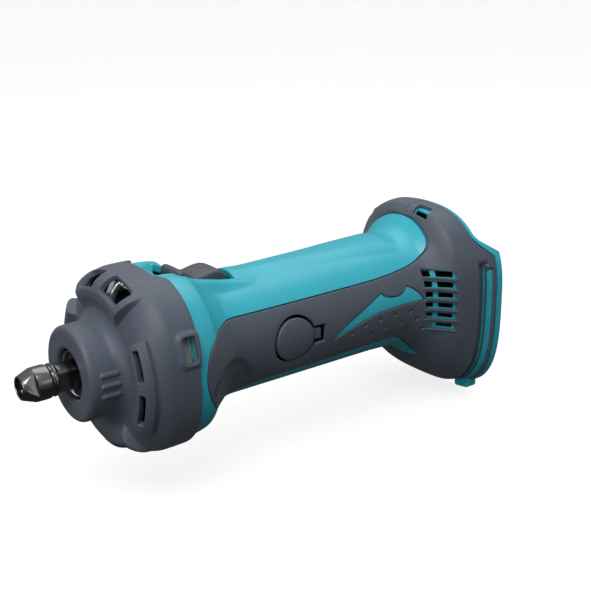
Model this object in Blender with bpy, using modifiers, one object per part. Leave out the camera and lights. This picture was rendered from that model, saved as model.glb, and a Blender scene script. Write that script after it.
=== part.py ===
"""Cordless die grinder, bare tool without its battery.

A slim straight grinder: collet and nut in front, a rubber-booted aluminium bearing box with air
windows, a barrel grip over a brushed motor, and a flared rear end that takes a slide-on battery.

Frame: metres, +Z up. The origin is on the spindle axis, at the face of the battery terminal block.
+X points at the battery, -X at the work, +Z is the slide switch side. The left half of the housing
is the one at -Y.

The lengths below are stations along the spindle axis, counted from the front face of the nose. A
parent empty on that face carries every piece to its place in the frame.
"""
import math

import bmesh
import bpy
from mathutils import Matrix, Vector

MM = 0.001

# Clearances
GAP = 0.3 * MM            # between neighbouring pieces
FIT = 0.15 * MM           # between turned pieces that sit in or on each other
MERGE = 0.01 * MM         # weld distance of the turned shapes

# Nose and head, measured along X from the nose face
NOSE_OPENING_RADIUS = 11.5 * MM
HEAD_END = 41.4 * MM

# Air windows: four pairs around the head shoulder, wide above and below, narrow slots at the sides
WINDOW_X = (14.5 * MM, 23.0 * MM)
SLOT_X = (14.4 * MM, 16.9 * MM)
BOX_WINDOW_X = (16.0 * MM, 25.0 * MM)
WINDOW_OFFSET = 9.7 * MM
WINDOW_WIDTH = 13.5 * MM
WINDOW_RADII = (27.5 * MM, 45.0 * MM)
HEAD_STEPS = 32
FRAME_HALF_ANGLE = math.radians(32.0)
FRAME_RADIUS = 39.9 * MM
SIDE_WINDOW_X = (34.6 * MM, 40.4 * MM)
SIDE_WINDOW_Z = (8.8 * MM, 18.4 * MM)

# Housing: the sections of the barrel and the flare, front to rear.
# x, half width, height above the axis, depth below it, squareness above, squareness below
BODY_WALL = 2.6 * MM
BODY_SECTIONS = (
    (42.0 * MM, 39.0 * MM, 39.0 * MM, 39.0 * MM, 2.0, 2.0),
    (51.0 * MM, 38.0 * MM, 38.0 * MM, 38.0 * MM, 2.0, 2.0),
    (55.0 * MM, 35.6 * MM, 35.6 * MM, 35.6 * MM, 2.0, 2.0),
    (60.0 * MM, 32.0 * MM, 32.0 * MM, 32.0 * MM, 2.0, 2.0),
    (66.0 * MM, 28.6 * MM, 28.6 * MM, 28.6 * MM, 2.0, 2.0),
    (72.0 * MM, 27.8 * MM, 27.8 * MM, 27.8 * MM, 2.0, 2.0),
    (150.0 * MM, 28.0 * MM, 27.8 * MM, 27.8 * MM, 2.0, 2.0),
    (160.0 * MM, 28.8 * MM, 27.9 * MM, 28.4 * MM, 2.1, 2.2),
    (168.0 * MM, 30.5 * MM, 28.2 * MM, 29.8 * MM, 2.2, 2.3),
    (173.0 * MM, 32.5 * MM, 29.0 * MM, 32.5 * MM, 2.3, 2.5),
    (178.0 * MM, 35.0 * MM, 33.4 * MM, 37.0 * MM, 2.4, 2.7),
    (184.0 * MM, 37.2 * MM, 38.9 * MM, 43.0 * MM, 2.5, 2.9),
    (190.0 * MM, 38.4 * MM, 41.2 * MM, 47.5 * MM, 2.5, 3.0),
    (197.0 * MM, 39.4 * MM, 41.2 * MM, 51.5 * MM, 2.5, 3.1),
    (204.0 * MM, 40.2 * MM, 39.6 * MM, 54.5 * MM, 2.5, 3.2),
    (216.4 * MM, 40.5 * MM, 38.0 * MM, 57.0 * MM, 2.5, 3.3),
)
BODY_START = BODY_SECTIONS[0][0]
BODY_END = BODY_SECTIONS[-1][0]
CAVITY_END = 201.5 * MM
HALF_STEPS = 10

# Soft grip moulded over the housing
SKIN = 1.5 * MM
SKIN_RECESS = SKIN + GAP

# Battery seat
SEAT_SHOULDER_Z = 20.0 * MM
SEAT_HUMP_Z = 26.0 * MM
SEAT_HUMP_X = 204.0 * MM
SEAT_POCKET_X = 209.4 * MM
SEAT_LIP_X = 213.4 * MM
SEAT_POCKET_HALF = 31.0 * MM
SEAT_MOUTH_HALF = 27.5 * MM
SEAT_POCKET_BOTTOM = -44.0 * MM
TERMINAL_X = (201.9 * MM, 212.8 * MM)
TERMINAL_HALF = 22.0 * MM
TERMINAL_Z = (-18.0 * MM, 12.0 * MM)
BLADES = (("positive", 13.0 * MM, 8.0 * MM), ("negative", -13.0 * MM, 8.0 * MM),
          ("signal", 4.0 * MM, 4.0 * MM))

# Rear vents
VENT_TOP_Z = 13.7 * MM
VENT_PITCH = 5.3 * MM
VENT_HEIGHT = 3.0 * MM
VENT_ROWS = 6
VENT_FRONT_X = (173.4 * MM, 177.4 * MM)
VENT_REAR_X = (179.8 * MM, 187.4 * MM)

# Motor
BRUSH_X = 98.0 * MM
YOKE_X = (44.5 * MM, 87.0 * MM)
YOKE_RADIUS = 23.2 * MM
YOKE_WALL = 2.0 * MM
MAGNET_INNER = 17.7 * MM
MAGNET_OUTER = 20.6 * MM
CORE_X = (49.0 * MM, 82.0 * MM)
CORE_RADIUS = 17.0 * MM
CORE_SLOTS = 10
WINDING_RADIUS = 12.8 * MM
SHAFT_RADIUS = 5.0 * MM
SHAFT_TAIL_RADIUS = 3.5 * MM
COMMUTATOR_RADIUS = 9.5 * MM
COMMUTATOR_X = (90.0 * MM, 104.0 * MM)
FAN_RADIUS = 27.8 * MM
FAN_BLADES = 9

# Bearings: 12 x 28 x 8 in front, 7 x 19 x 6 behind; front, rear, bore radius, outer radius
FRONT_BEARING = (5.6 * MM, 13.6 * MM, 6.0 * MM, 14.0 * MM)
REAR_BEARING = (107.0 * MM, 113.0 * MM, 3.5 * MM, 9.5 * MM)
RACE_SHARE = 0.28         # of the bearing's section, taken by each race
SHIELD_DEPTH = 0.9 * MM

# Spindle nose, collet and nut
SPINDLE_NOSE_X = -15.4 * MM
SPINDLE_COLLAR_X = -6.6 * MM
SPINDLE_COLLAR_RADIUS = 6.3 * MM
SPANNER_FLAT = 5.0 * MM
COLLET_BORE = 3.1 * MM    # released, for a shank of 6 mm
NUT_FRONT = -22.2 * MM
NUT_REAR = -7.0 * MM
NUT_RADIUS = 7.4 * MM
NUT_FLATS = 11.4 * MM     # across the two spanner flats
NUT_TURN = math.radians(20.0)

# Side openings of the brushes
COVER_DISC_RADIUS = 10.4 * MM
COVER_HOLE_RADIUS = 11.0 * MM
BRUSH_SIZE = (8.0 * MM, 6.0 * MM)
BRUSH_TRAVEL = 1.5 * MM

# Slide switch
SWITCH_HALF_WIDTH = 8.0 * MM
SWITCH_WELL_X = (39.5 * MM, 79.5 * MM)
SWITCH_PIVOT = (61.0 * MM, 0.0, 28.6 * MM)
PLATFORM_HALF = 12.0 * MM

# Fasteners
SCREW_RADIUS = 1.75 * MM
SCREW_HEAD_RADIUS = 3.2 * MM
SCREW_HEAD_HEIGHT = 2.4 * MM
SCREW_SINK = 5.0 * MM
BOSS_RADIUS = 4.2 * MM
HEAD_SCREW_RADIUS = 32.6 * MM
HOUSING_SCREWS = ((125.0 * MM, -19.0 * MM), (160.0 * MM, 18.5 * MM), (160.0 * MM, -18.5 * MM),
                  (192.0 * MM, 30.0 * MM), (196.0 * MM, -43.0 * MM))

SIDES = (("left", -1.0), ("right", 1.0))
FAR = 70.0 * MM           # beyond any surface of the tool


# ---------------------------------------------------------------- scene and materials

for old in list(bpy.data.objects):
    bpy.data.objects.remove(old, do_unlink=True)

parts = bpy.data.collections.new("die_grinder")
cutters = bpy.data.collections.new("cutters")
for collection in (parts, cutters):
    bpy.context.scene.collection.children.link(collection)

nose_face = bpy.data.objects.new("nose_face", None)
parts.objects.link(nose_face)
nose_face.location.x = -TERMINAL_X[1]


def material(name, colour, roughness, metallic=0.0):
    """A Principled material; it is made once and then shared."""
    found = bpy.data.materials.get(name)
    if found:
        return found
    made = bpy.data.materials.new(name)
    made.use_nodes = True
    shader = made.node_tree.nodes["Principled BSDF"]
    shader.inputs["Base Color"].default_value = (*colour, 1.0)
    shader.inputs["Roughness"].default_value = roughness
    shader.inputs["Metallic"].default_value = metallic
    return made


TEAL = material("teal_plastic", (0.03, 0.40, 0.50), 0.35)
GREY_RUBBER = material("grey_rubber", (0.10, 0.11, 0.14), 0.55)
DARK_PLASTIC = material("dark_plastic", (0.05, 0.05, 0.06), 0.45)
BLACK_PLASTIC = material("black_plastic", (0.02, 0.02, 0.02), 0.5)
BLACK_RUBBER = material("black_rubber", (0.02, 0.02, 0.02), 0.8)
ALUMINIUM = material("cast_aluminium", (0.80, 0.80, 0.82), 0.35, 1.0)
STEEL = material("steel", (0.62, 0.62, 0.64), 0.25, 1.0)
DARK_STEEL = material("burnished_steel", (0.13, 0.12, 0.13), 0.25, 1.0)
IRON = material("plated_iron", (0.45, 0.45, 0.47), 0.4, 1.0)
COPPER = material("copper", (0.80, 0.38, 0.22), 0.3, 1.0)
BRASS = material("brass", (0.80, 0.62, 0.28), 0.3, 1.0)
CARBON = material("carbon", (0.05, 0.05, 0.05), 0.6)
FERRITE = material("ferrite", (0.10, 0.10, 0.11), 0.7)
GREEN_BOARD = material("circuit_board", (0.03, 0.22, 0.08), 0.5)
RED_WIRE = material("red_insulation", (0.60, 0.03, 0.02), 0.45)
BLACK_WIRE = material("black_insulation", (0.02, 0.02, 0.02), 0.45)


# ---------------------------------------------------------------- shape helpers

def place(name, shape, finish=None):
    """Link a mesh or curve as a part, or as a hidden cutter when it has no finish."""
    made = bpy.data.objects.new(name, shape)
    made.parent = nose_face
    if finish:
        parts.objects.link(made)
        shape.materials.append(finish)
    else:
        cutters.objects.link(made)
        made.hide_render = True
        made.display_type = 'WIRE'
    return made


def turn_about(made, point):
    """Move a piece's origin to a point on its joint's axis, with its shape left in place."""
    made.data.transform(Matrix.Translation(point).inverted())
    made.location = point


def to_mesh(name, work):
    bmesh.ops.recalc_face_normals(work, faces=work.faces)
    mesh = bpy.data.meshes.new(name)
    work.to_mesh(mesh)
    work.free()
    return mesh


def smooth(made, angle=30.0):
    made.data.shade_smooth()
    made.data.set_sharp_from_angle(angle=math.radians(angle))
    return made


def box(name, low, high, finish=None):
    """A box between two corners."""
    work = bmesh.new()
    size = [b - a for a, b in zip(low, high)]
    middle = [(a + b) / 2 for a, b in zip(low, high)]
    matrix = Matrix.Translation(middle) @ Matrix.Diagonal((*size, 1.0))
    bmesh.ops.create_cube(work, size=1.0, matrix=matrix)
    return place(name, to_mesh(name, work), finish)


def boxes(name, corners):
    """Several separate boxes in one cutter."""
    work = bmesh.new()
    for low, high in corners:
        size = [b - a for a, b in zip(low, high)]
        middle = [(a + b) / 2 for a, b in zip(low, high)]
        matrix = Matrix.Translation(middle) @ Matrix.Diagonal((*size, 1.0))
        bmesh.ops.create_cube(work, size=1.0, matrix=matrix)
    return place(name, to_mesh(name, work))


def add_rod(work, start, end, radius, segments):
    start = Vector(start)
    along = Vector(end) - start
    turn = along.to_track_quat('Z', 'Y').to_matrix().to_4x4()
    matrix = Matrix.Translation(start + along / 2) @ turn
    bmesh.ops.create_cone(work, cap_ends=True, segments=segments, radius1=radius, radius2=radius,
                          depth=along.length, matrix=matrix)


def rod(name, start, end, radius, finish=None, segments=12):
    """A cylinder between two points."""
    work = bmesh.new()
    add_rod(work, start, end, radius, segments)
    made = place(name, to_mesh(name, work), finish)
    return smooth(made)


def turned(name, outer, inner=None, finish=None, steps=20):
    """A shape turned about the X axis.

    outer runs from the rear to the front as (x, radius), inner from the front to the rear.
    Without an inner side the shape is solid to the axis.
    """
    profile = list(outer) + list(inner or ())
    closed = inner is not None
    if not closed:
        profile = [(outer[0][0], 0.0)] + profile + [(outer[-1][0], 0.0)]
    work = bmesh.new()
    verts = [work.verts.new((x, radius, 0.0)) for x, radius in profile]
    for first, second in zip(verts, verts[1:]):
        work.edges.new((first, second))
    if closed:
        work.edges.new((verts[-1], verts[0]))
    mesh = bpy.data.meshes.new(name)
    work.to_mesh(mesh)
    work.free()
    made = place(name, mesh, finish)
    screw = made.modifiers.new("turn", 'SCREW')
    screw.axis = 'X'
    screw.angle = 2 * math.pi
    screw.steps = steps
    screw.render_steps = steps
    screw.use_merge_vertices = True
    screw.merge_threshold = MERGE
    screw.use_smooth_shade = True
    return made


def ring(name, x_range, inner_radius, outer_radius, finish=None, steps=20):
    """A plain turned ring."""
    front, rear = x_range
    return turned(name, [(rear, outer_radius), (front, outer_radius)],
                  [(front, inner_radius), (rear, inner_radius)], finish, steps)


def prism(name, outline, y_range, finish=None):
    """An outline in X and Z, extruded along Y."""
    low, high = y_range
    work = bmesh.new()
    face = work.faces.new([work.verts.new((x, low, z)) for x, z in outline])
    grown = bmesh.ops.extrude_face_region(work, geom=[face])["geom"]
    moved = [item for item in grown if isinstance(item, bmesh.types.BMVert)]
    bmesh.ops.translate(work, vec=(0.0, high - low, 0.0), verts=moved)
    return place(name, to_mesh(name, work), finish)


def loft(name, rings, finish=None):
    """A closed skin through rings of equal point count, with flat ends."""
    work = bmesh.new()
    loops = [[work.verts.new(point) for point in points] for points in rings]
    count = len(loops[0])
    for before, after in zip(loops, loops[1:]):
        for i in range(count):
            j = (i + 1) % count
            work.faces.new((before[i], before[j], after[j], after[i]))
    work.faces.new(loops[0])
    work.faces.new(loops[-1])
    bmesh.ops.triangulate(work, faces=work.faces)
    return place(name, to_mesh(name, work), finish)


def boolean(target, operation, tool):
    step = target.modifiers.new(operation.lower(), 'BOOLEAN')
    step.operation = operation
    step.solver = 'EXACT'
    step.object = tool


def cut(target, *tools):
    for tool in tools:
        boolean(target, 'DIFFERENCE', tool)


def join(target, *tools):
    for tool in tools:
        boolean(target, 'UNION', tool)


def keep_inside(target, tool):
    boolean(target, 'INTERSECT', tool)


def polar(x, radius, angle):
    """A point at an angle from -Y towards +Z around the spindle axis."""
    return (x, -radius * math.cos(angle), radius * math.sin(angle))


# ---------------------------------------------------------------- body sections

def section_at(x):
    """The body's section numbers at x, blended between the two nearest stations."""
    for before, after in zip(BODY_SECTIONS, BODY_SECTIONS[1:]):
        if x <= after[0]:
            share = (x - before[0]) / (after[0] - before[0])
            return [a + (b - a) * share for a, b in zip(before, after)][1:]
    return list(BODY_SECTIONS[-1][1:])


def section_point(x, angle, inset):
    """A point of the body's skin, moved in by inset; angle runs from -Y towards +Z."""
    width, top, bottom, square_top, square_bottom = section_at(x)
    upper = math.sin(angle) >= 0
    power = 2 / (square_top if upper else square_bottom)
    height = (top if upper else bottom) - inset
    across = math.copysign(abs(math.cos(angle)) ** power, math.cos(angle))
    along = math.copysign(abs(math.sin(angle)) ** power, math.sin(angle))
    return (x, -(width - inset) * across, height * along)


def stations(start, end):
    inner = [row[0] for row in BODY_SECTIONS if start < row[0] < end]
    return [start] + inner + [end]


def whole_skin(name, start, end, inset):
    """The body's solid between two stations."""
    count = 2 * HALF_STEPS
    rings = [[section_point(x, 2 * math.pi * (i + 0.5) / count, inset) for i in range(count)]
             for x in stations(start, end)]
    return loft(name, rings)


def half_skin(name, side, start, end, inset, finish=None, seam=GAP / 2):
    """One half of the body's solid, flat at the seam."""
    rings = []
    for x in stations(start, end):
        points = []
        for i in range(HALF_STEPS + 1):
            angle = -math.pi / 2 + math.pi * i / HALF_STEPS
            _, y, z = section_point(x, angle, inset)
            points.append((x, side * max(-y, seam), z))
        rings.append(points)
    return loft(name, rings, finish)


def skin_y(x, z, inset):
    """Half width of the body's skin at a height z."""
    width, top, bottom, square_top, square_bottom = section_at(x)
    height, square = (top, square_top) if z >= 0 else (bottom, square_bottom)
    share = 1 - (abs(z) / (height - inset)) ** square
    return (width - inset) * share ** (1 / square)


# ---------------------------------------------------------------- head

def cover_profile():
    """Outer side of the rubber cover: head, rounded shoulder, concave neck and nose."""
    shoulder = [(41.4, 40.4), (30.0, 40.5), (26.0, 40.0), (22.5, 38.4), (19.6, 35.0), (17.6, 30.0)]
    neck = [(16.6, 26.0), (15.0, 23.0), (13.0, 21.5)]
    nose = [(2.0, 21.1), (0.6, 20.6), (0.0, 19.3), (0.6, 6.0)]
    return [(x * MM, r * MM) for x, r in shoulder + neck + nose]


def box_profile():
    """Outer side of the bearing box, which fills the cover."""
    outer = [(41.4, 37.6), (28.0, 37.5), (24.6, 36.2), (22.1, 33.4), (19.9, 29.0), (18.0, 23.0),
             (14.8, 18.3), (2.0, 18.3)]
    return [(x * MM, r * MM) for x, r in outer]


def window_boxes(name, spans, width):
    """Eight radial boxes: two on each side of the head, in turn above, left, below and right."""
    low_r, high_r = WINDOW_RADII
    work = bmesh.new()
    for quarter, (low_x, high_x) in enumerate(spans):
        turn = Matrix.Rotation(quarter * math.pi / 2, 4, 'X')
        for offset in (-WINDOW_OFFSET, WINDOW_OFFSET):
            middle = Vector(((low_x + high_x) / 2, offset, (low_r + high_r) / 2))
            size = (high_x - low_x, width, high_r - low_r, 1.0)
            matrix = turn @ Matrix.Translation(middle) @ Matrix.Diagonal(size)
            bmesh.ops.create_cube(work, size=1.0, matrix=matrix)
    return place(name, to_mesh(name, work))


def window_frame(name, quarter):
    """A raised frame around one pair of windows, swept about the axis."""
    outline = [(13.0, 32.0), (14.0, 34.0), (17.0, 38.2), (20.0, FRAME_RADIUS / MM),
               (24.0, FRAME_RADIUS / MM), (25.5, 37.0), (20.0, 31.0)]
    work = bmesh.new()
    start = quarter * math.pi / 2 - FRAME_HALF_ANGLE
    face = work.faces.new([work.verts.new(polar(x * MM, r * MM, start)) for x, r in outline])
    bmesh.ops.spin(work, geom=[face], cent=(0.0, 0.0, 0.0), axis=(-1.0, 0.0, 0.0),
                   angle=2 * FRAME_HALF_ANGLE, steps=5)
    return place(name, to_mesh(name, work))


def platform_notch(name):
    """Room at the top of the head for the tongue of the switch platform."""
    return box(name, (36.0 * MM, -PLATFORM_HALF - GAP, 30.0 * MM), (FAR, PLATFORM_HALF + GAP, FAR))


def make_front_cover():
    inner = [(HEAD_END + MM, 38.0 * MM), (27.8 * MM, 37.9 * MM), (24.4 * MM, 36.6 * MM),
             (21.8 * MM, 33.8 * MM), (19.6 * MM, 29.4 * MM), (17.7 * MM, 23.2 * MM),
             (14.6 * MM, 18.6 * MM), (1.9 * MM, 18.6 * MM), (1.4 * MM, NOSE_OPENING_RADIUS),
             (-MM, NOSE_OPENING_RADIUS)]
    cover = turned("front_cover", cover_profile(), None, GREY_RUBBER, HEAD_STEPS)
    for quarter in range(4):
        join(cover, window_frame("cover_frame_%d" % quarter, quarter))
    cut(cover, platform_notch("cover_notch"))
    cut(cover, window_boxes("cover_windows", (WINDOW_X, SLOT_X) * 2, WINDOW_WIDTH))
    for label, side in SIDES:
        y = sorted((side * 30.0 * MM, side * FAR))
        low = (SIDE_WINDOW_X[0], y[0], SIDE_WINDOW_Z[0])
        high = (SIDE_WINDOW_X[1], y[1], SIDE_WINDOW_Z[1])
        cut(cover, box("cover_side_window_" + label, low, high))
    cut(cover, turned("cover_inside", inner, steps=HEAD_STEPS))


def screw_angles():
    return [math.radians(45.0 + 90.0 * i) for i in range(4)]


def diagonal_rods(name, start, end, radius):
    """Four rods along X on the diagonals of the head."""
    work = bmesh.new()
    for angle in screw_angles():
        add_rod(work, polar(start, HEAD_SCREW_RADIUS, angle), polar(end, HEAD_SCREW_RADIUS, angle),
                radius, 12)
    return place(name, to_mesh(name, work))


def make_bearing_box():
    seat_rear = FRONT_BEARING[1] + FIT
    seat_radius = FRONT_BEARING[3] + FIT
    cavity = [(HEAD_END + MM, 35.0), (29.0 * MM, 35.0), (26.7 * MM, 34.2), (24.4 * MM, 31.5),
              (22.2 * MM, 28.0), (20.2 * MM, 20.0), (16.5 * MM, 11.0), (seat_rear, 11.0)]
    inner = [(x, r * MM) for x, r in cavity] + [(seat_rear, seat_radius), (MM, seat_radius)]
    body = turned("bearing_box", box_profile(), None, ALUMINIUM, HEAD_STEPS)
    hollow = turned("box_hollow", inner, steps=HEAD_STEPS)
    cut(hollow, diagonal_rods("box_bosses", 15.0 * MM, FAR, BOSS_RADIUS))
    cut(body, hollow, platform_notch("box_notch"))
    cut(body, window_boxes("box_windows", (BOX_WINDOW_X,) * 4, WINDOW_WIDTH - 1.5 * MM))
    cut(body, diagonal_rods("box_holes", 15.0 * MM, FAR, SCREW_RADIUS + FIT))
    cut(body, diagonal_rods("box_sinks", 15.0 * MM, 26.0 * MM, SCREW_HEAD_RADIUS + GAP))


def make_bearing(name, bearing):
    """A sealed ball bearing as an outer race with its shields and an inner race."""
    front, rear, bore, outside = bearing
    race = RACE_SHARE * (outside - bore)
    inner_top = bore + race
    outer_low = outside - race
    shield = inner_top + GAP
    shields = (front + SHIELD_DEPTH, rear - SHIELD_DEPTH)
    turned(name + "_outer", [(rear, outside), (front, outside)],
           [(front, shield), (shields[0], shield), (shields[0], outer_low), (shields[1], outer_low),
            (shields[1], shield), (rear, shield)], STEEL)
    ring(name + "_inner", (front, rear), bore + FIT, inner_top, STEEL)


def make_nose_rings():
    ring("bearing_retainer", (2.3 * MM, 5.3 * MM), 9.5 * MM, FRONT_BEARING[3] - FIT, STEEL)
    ring("dust_washer", (3.2 * MM, 5.0 * MM), SPINDLE_COLLAR_RADIUS + FIT, 9.0 * MM, BLACK_RUBBER)


def make_fan_baffle():
    """The ring behind the fan that leads the motor's air into it."""
    outer = [(41.0 * MM, 28.2 * MM), (38.5 * MM, 28.2 * MM), (37.6 * MM, 26.0 * MM)]
    inner = [(37.6 * MM, 24.5 * MM), (39.4 * MM, 21.0 * MM), (41.0 * MM, 20.0 * MM)]
    turned("fan_baffle", outer, inner, DARK_PLASTIC)


# ---------------------------------------------------------------- housing and grip

def panel_outline(grow):
    """Side view of the soft grip: a long panel that runs into the boot around the flare."""
    front = [(66.4, 16.1), (59.1, 16.1), (52.4, 15.2), (46.9, 9.2), (44.8, 1.1), (45.2, -6.0),
             (48.0, -13.7), (53.0, -19.5), (60.0, -22.0), (68.0, -21.3)]
    below = [(78.0, -19.0), (110.0, -18.3), (148.7, -17.3), (161.8, -17.3), (167.6, -20.1),
             (173.8, -25.2), (181.0, -32.7), (174.0, -34.5), (169.0, -45.0)]
    boot = [(169.0, -65.0), (200.0, -65.0), (200.0, 55.0), (179.0, 55.0), (180.5, 36.0),
            (180.6, 32.0), (179.0, 28.3), (177.0, 24.7), (173.0, 21.0), (168.0, 18.8),
            (162.0, 17.0), (150.8, 15.6)]
    points = [Vector((x * MM, z * MM)) for x, z in front + below + boot]
    grown = []
    count = len(points)
    for i, point in enumerate(points):
        side = points[(i + 1) % count] - points[i - 1]
        grown.append(point + Vector((side.y, -side.x)).normalized() * grow)
    return [(p.x, p.y) for p in grown]


def swoosh_outline():
    """The wedge of the housing that shows through the panel."""
    points = [(119.2, -6.1), (127.0, -0.8), (135.3, 3.2), (149.8, 9.8), (153.5, 7.3), (160.1, 6.9),
              (164.4, 10.2), (168.0, 7.5), (170.6, 3.3), (158.2, 2.5), (141.2, 1.2), (129.3, -1.6)]
    return [(x * MM, z * MM) for x, z in points]


def side_span(side, inner=0.0):
    return tuple(sorted((side * inner, side * FAR)))


def vent_boxes(name, side, columns, grow):
    """Vent slots in the flare; the last row has only its rear opening."""
    corners = []
    low_y, high_y = side_span(side, 22.0 * MM)
    for row in range(VENT_ROWS):
        z = VENT_TOP_Z - row * VENT_PITCH
        half = VENT_HEIGHT / 2 + grow
        for x0, x1 in (columns[-1:] if row == VENT_ROWS - 1 else columns):
            corners.append(((x0 - grow, low_y, z - half), (x1 + grow, high_y, z + half)))
    return boxes(name, corners)


def rear_cut(name):
    """Material behind the sloping upper edge of the battery seat."""
    outline = [(SEAT_HUMP_X, SEAT_HUMP_Z + 1.5 * MM), (SEAT_HUMP_X + 2.0 * MM, SEAT_HUMP_Z),
               (BODY_END + MM, SEAT_SHOULDER_Z - MM), (BODY_END + 10 * MM, SEAT_SHOULDER_Z),
               (BODY_END + 10 * MM, FAR), (SEAT_HUMP_X, FAR)]
    return prism(name, outline, (-FAR, FAR))


def platform(name, side):
    """The raised deck around the slide switch."""
    deck = [(37.0, 38.2), (39.0, 38.6), (47.0, 38.2), (56.0, 34.6), (66.0, 31.8), (80.0, 28.4),
            (84.0, 26.0), (84.0, 24.5), (64.0, 25.5), (52.0, 35.0), (42.5, 36.0), (37.0, 36.0)]
    outline = [(x * MM, z * MM) for x, z in deck]
    return prism(name, outline, tuple(sorted((side * GAP / 2, side * PLATFORM_HALF))))


def rods(name, spans, radius, segments=10):
    """Several separate cylinders in one cutter."""
    work = bmesh.new()
    for start, end in spans:
        add_rod(work, start, end, radius, segments)
    return place(name, to_mesh(name, work))


def make_housing(label, side):
    """Half of the housing: a shell with screw bosses left standing in its cavity."""
    shell = half_skin("housing_" + label, side, BODY_START, BODY_END, 0.0, TEAL)
    cavity = whole_skin("cavity_" + label, BODY_START - MM, CAVITY_END, BODY_WALL)
    neck = [(polar(43.0 * MM, HEAD_SCREW_RADIUS, angle), polar(50.3 * MM, HEAD_SCREW_RADIUS, angle))
            for angle in screw_angles() if math.cos(angle) * side < 0]
    posts = [((x, side * GAP / 2, z), (x, side * FAR, z)) for x, z in HOUSING_SCREWS]
    cut(cavity, rods("neck_bosses_" + label, neck, BOSS_RADIUS + 0.6 * MM))
    cut(cavity, rods("bosses_" + label, posts, BOSS_RADIUS))
    cut(shell, cavity)
    join(shell, platform("platform_" + label, side))

    recess = half_skin("recess_" + label, side, BODY_START - MM, BODY_END + MM, -2.0 * MM, seam=0.0)
    cut(recess, whole_skin("recess_core_" + label, BODY_START - 2 * MM, BODY_END + 2 * MM, SKIN_RECESS))
    keep_inside(recess, prism("recess_outline_" + label, panel_outline(GAP), side_span(side)))
    cut(shell, recess, *screw_bores(label, side))
    holes = [(tuple(a - Vector((3 * MM, 0, 0))), tuple(b + Vector((9 * MM, 0, 0))))
             for a, b in ((Vector(a), Vector(b)) for a, b in neck)]
    cut(shell, rods("neck_holes_" + label, holes, SCREW_RADIUS + FIT))
    cut(shell, rear_cut("rear_cut_" + label), *seat_pockets(label))
    cut(shell, vent_boxes("vents_" + label, side, (VENT_FRONT_X, VENT_REAR_X), 0.0))
    well = box("well_" + label, (SWITCH_WELL_X[0], -SWITCH_HALF_WIDTH - GAP, 24.0 * MM),
               (SWITCH_WELL_X[1], SWITCH_HALF_WIDTH + GAP, FAR))
    opening = rod("cover_hole_" + label, (BRUSH_X, side * 15.0 * MM, 0.0),
                  (BRUSH_X, side * FAR, 0.0), COVER_HOLE_RADIUS, segments=20)
    cut(shell, well, opening)


def screw_bores(label, side):
    """Blind pilot holes in the left half, clearance holes with head recesses in the right."""
    faces = [(x, z, skin_y(x, z, 0.0)) for x, z in HOUSING_SCREWS]
    if side < 0:
        pilots = [((x, MM, z), (x, -0.72 * face, z)) for x, z, face in faces]
        return [rods("pilots", pilots, SCREW_RADIUS + FIT)]
    through = [((x, -MM, z), (x, FAR, z)) for x, z, face in faces]
    sinks = [((x, face - SCREW_SINK, z), (x, FAR, z)) for x, z, face in faces]
    return [rods("screw_holes", through, SCREW_RADIUS + FIT),
            rods("screw_sinks", sinks, SCREW_HEAD_RADIUS + GAP)]


def seat_pockets(label):
    """The battery seat: a pocket open at the top, with a narrower mouth that leaves two rails."""
    inner = box("seat_pocket_" + label, (SEAT_POCKET_X, -SEAT_POCKET_HALF, SEAT_POCKET_BOTTOM),
                (SEAT_LIP_X, SEAT_POCKET_HALF, FAR))
    mouth = box("seat_mouth_" + label, (SEAT_LIP_X - MM, -SEAT_MOUTH_HALF, SEAT_POCKET_BOTTOM),
                (FAR * 4, SEAT_MOUTH_HALF, FAR))
    opening = box("terminal_opening_" + label, (CAVITY_END - MM, -22.3 * MM, -18.3 * MM),
                  (SEAT_LIP_X, 22.3 * MM, 12.3 * MM))
    return inner, mouth, opening


def make_grip(label, side):
    """The soft grip of one half, moulded over the housing."""
    grip = half_skin("grip_" + label, side, BODY_START + MM, 200.0 * MM, 0.0, GREY_RUBBER)
    core = whole_skin("grip_core_" + label, BODY_START, 201.0 * MM, SKIN)
    cut(grip, core)
    keep_inside(grip, prism("grip_outline_" + label, panel_outline(0.0), side_span(side)))
    cut(grip, vent_boxes("grip_vents_" + label, side, ((VENT_FRONT_X[0], VENT_REAR_X[1]),), GAP))
    cut(grip, prism("swoosh_" + label, swoosh_outline(), side_span(side)))
    hole = rod("grip_hole_" + label, (BRUSH_X, side * 15.0 * MM, 0.0), (BRUSH_X, side * FAR, 0.0),
               COVER_HOLE_RADIUS, segments=20)
    cut(grip, hole)
    if side > 0:
        sinks = [((x, 5.0 * MM, z), (x, FAR, z)) for x, z in HOUSING_SCREWS]
        cut(grip, rods("grip_sinks", sinks, SCREW_HEAD_RADIUS + GAP))


# ---------------------------------------------------------------- motor

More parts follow.
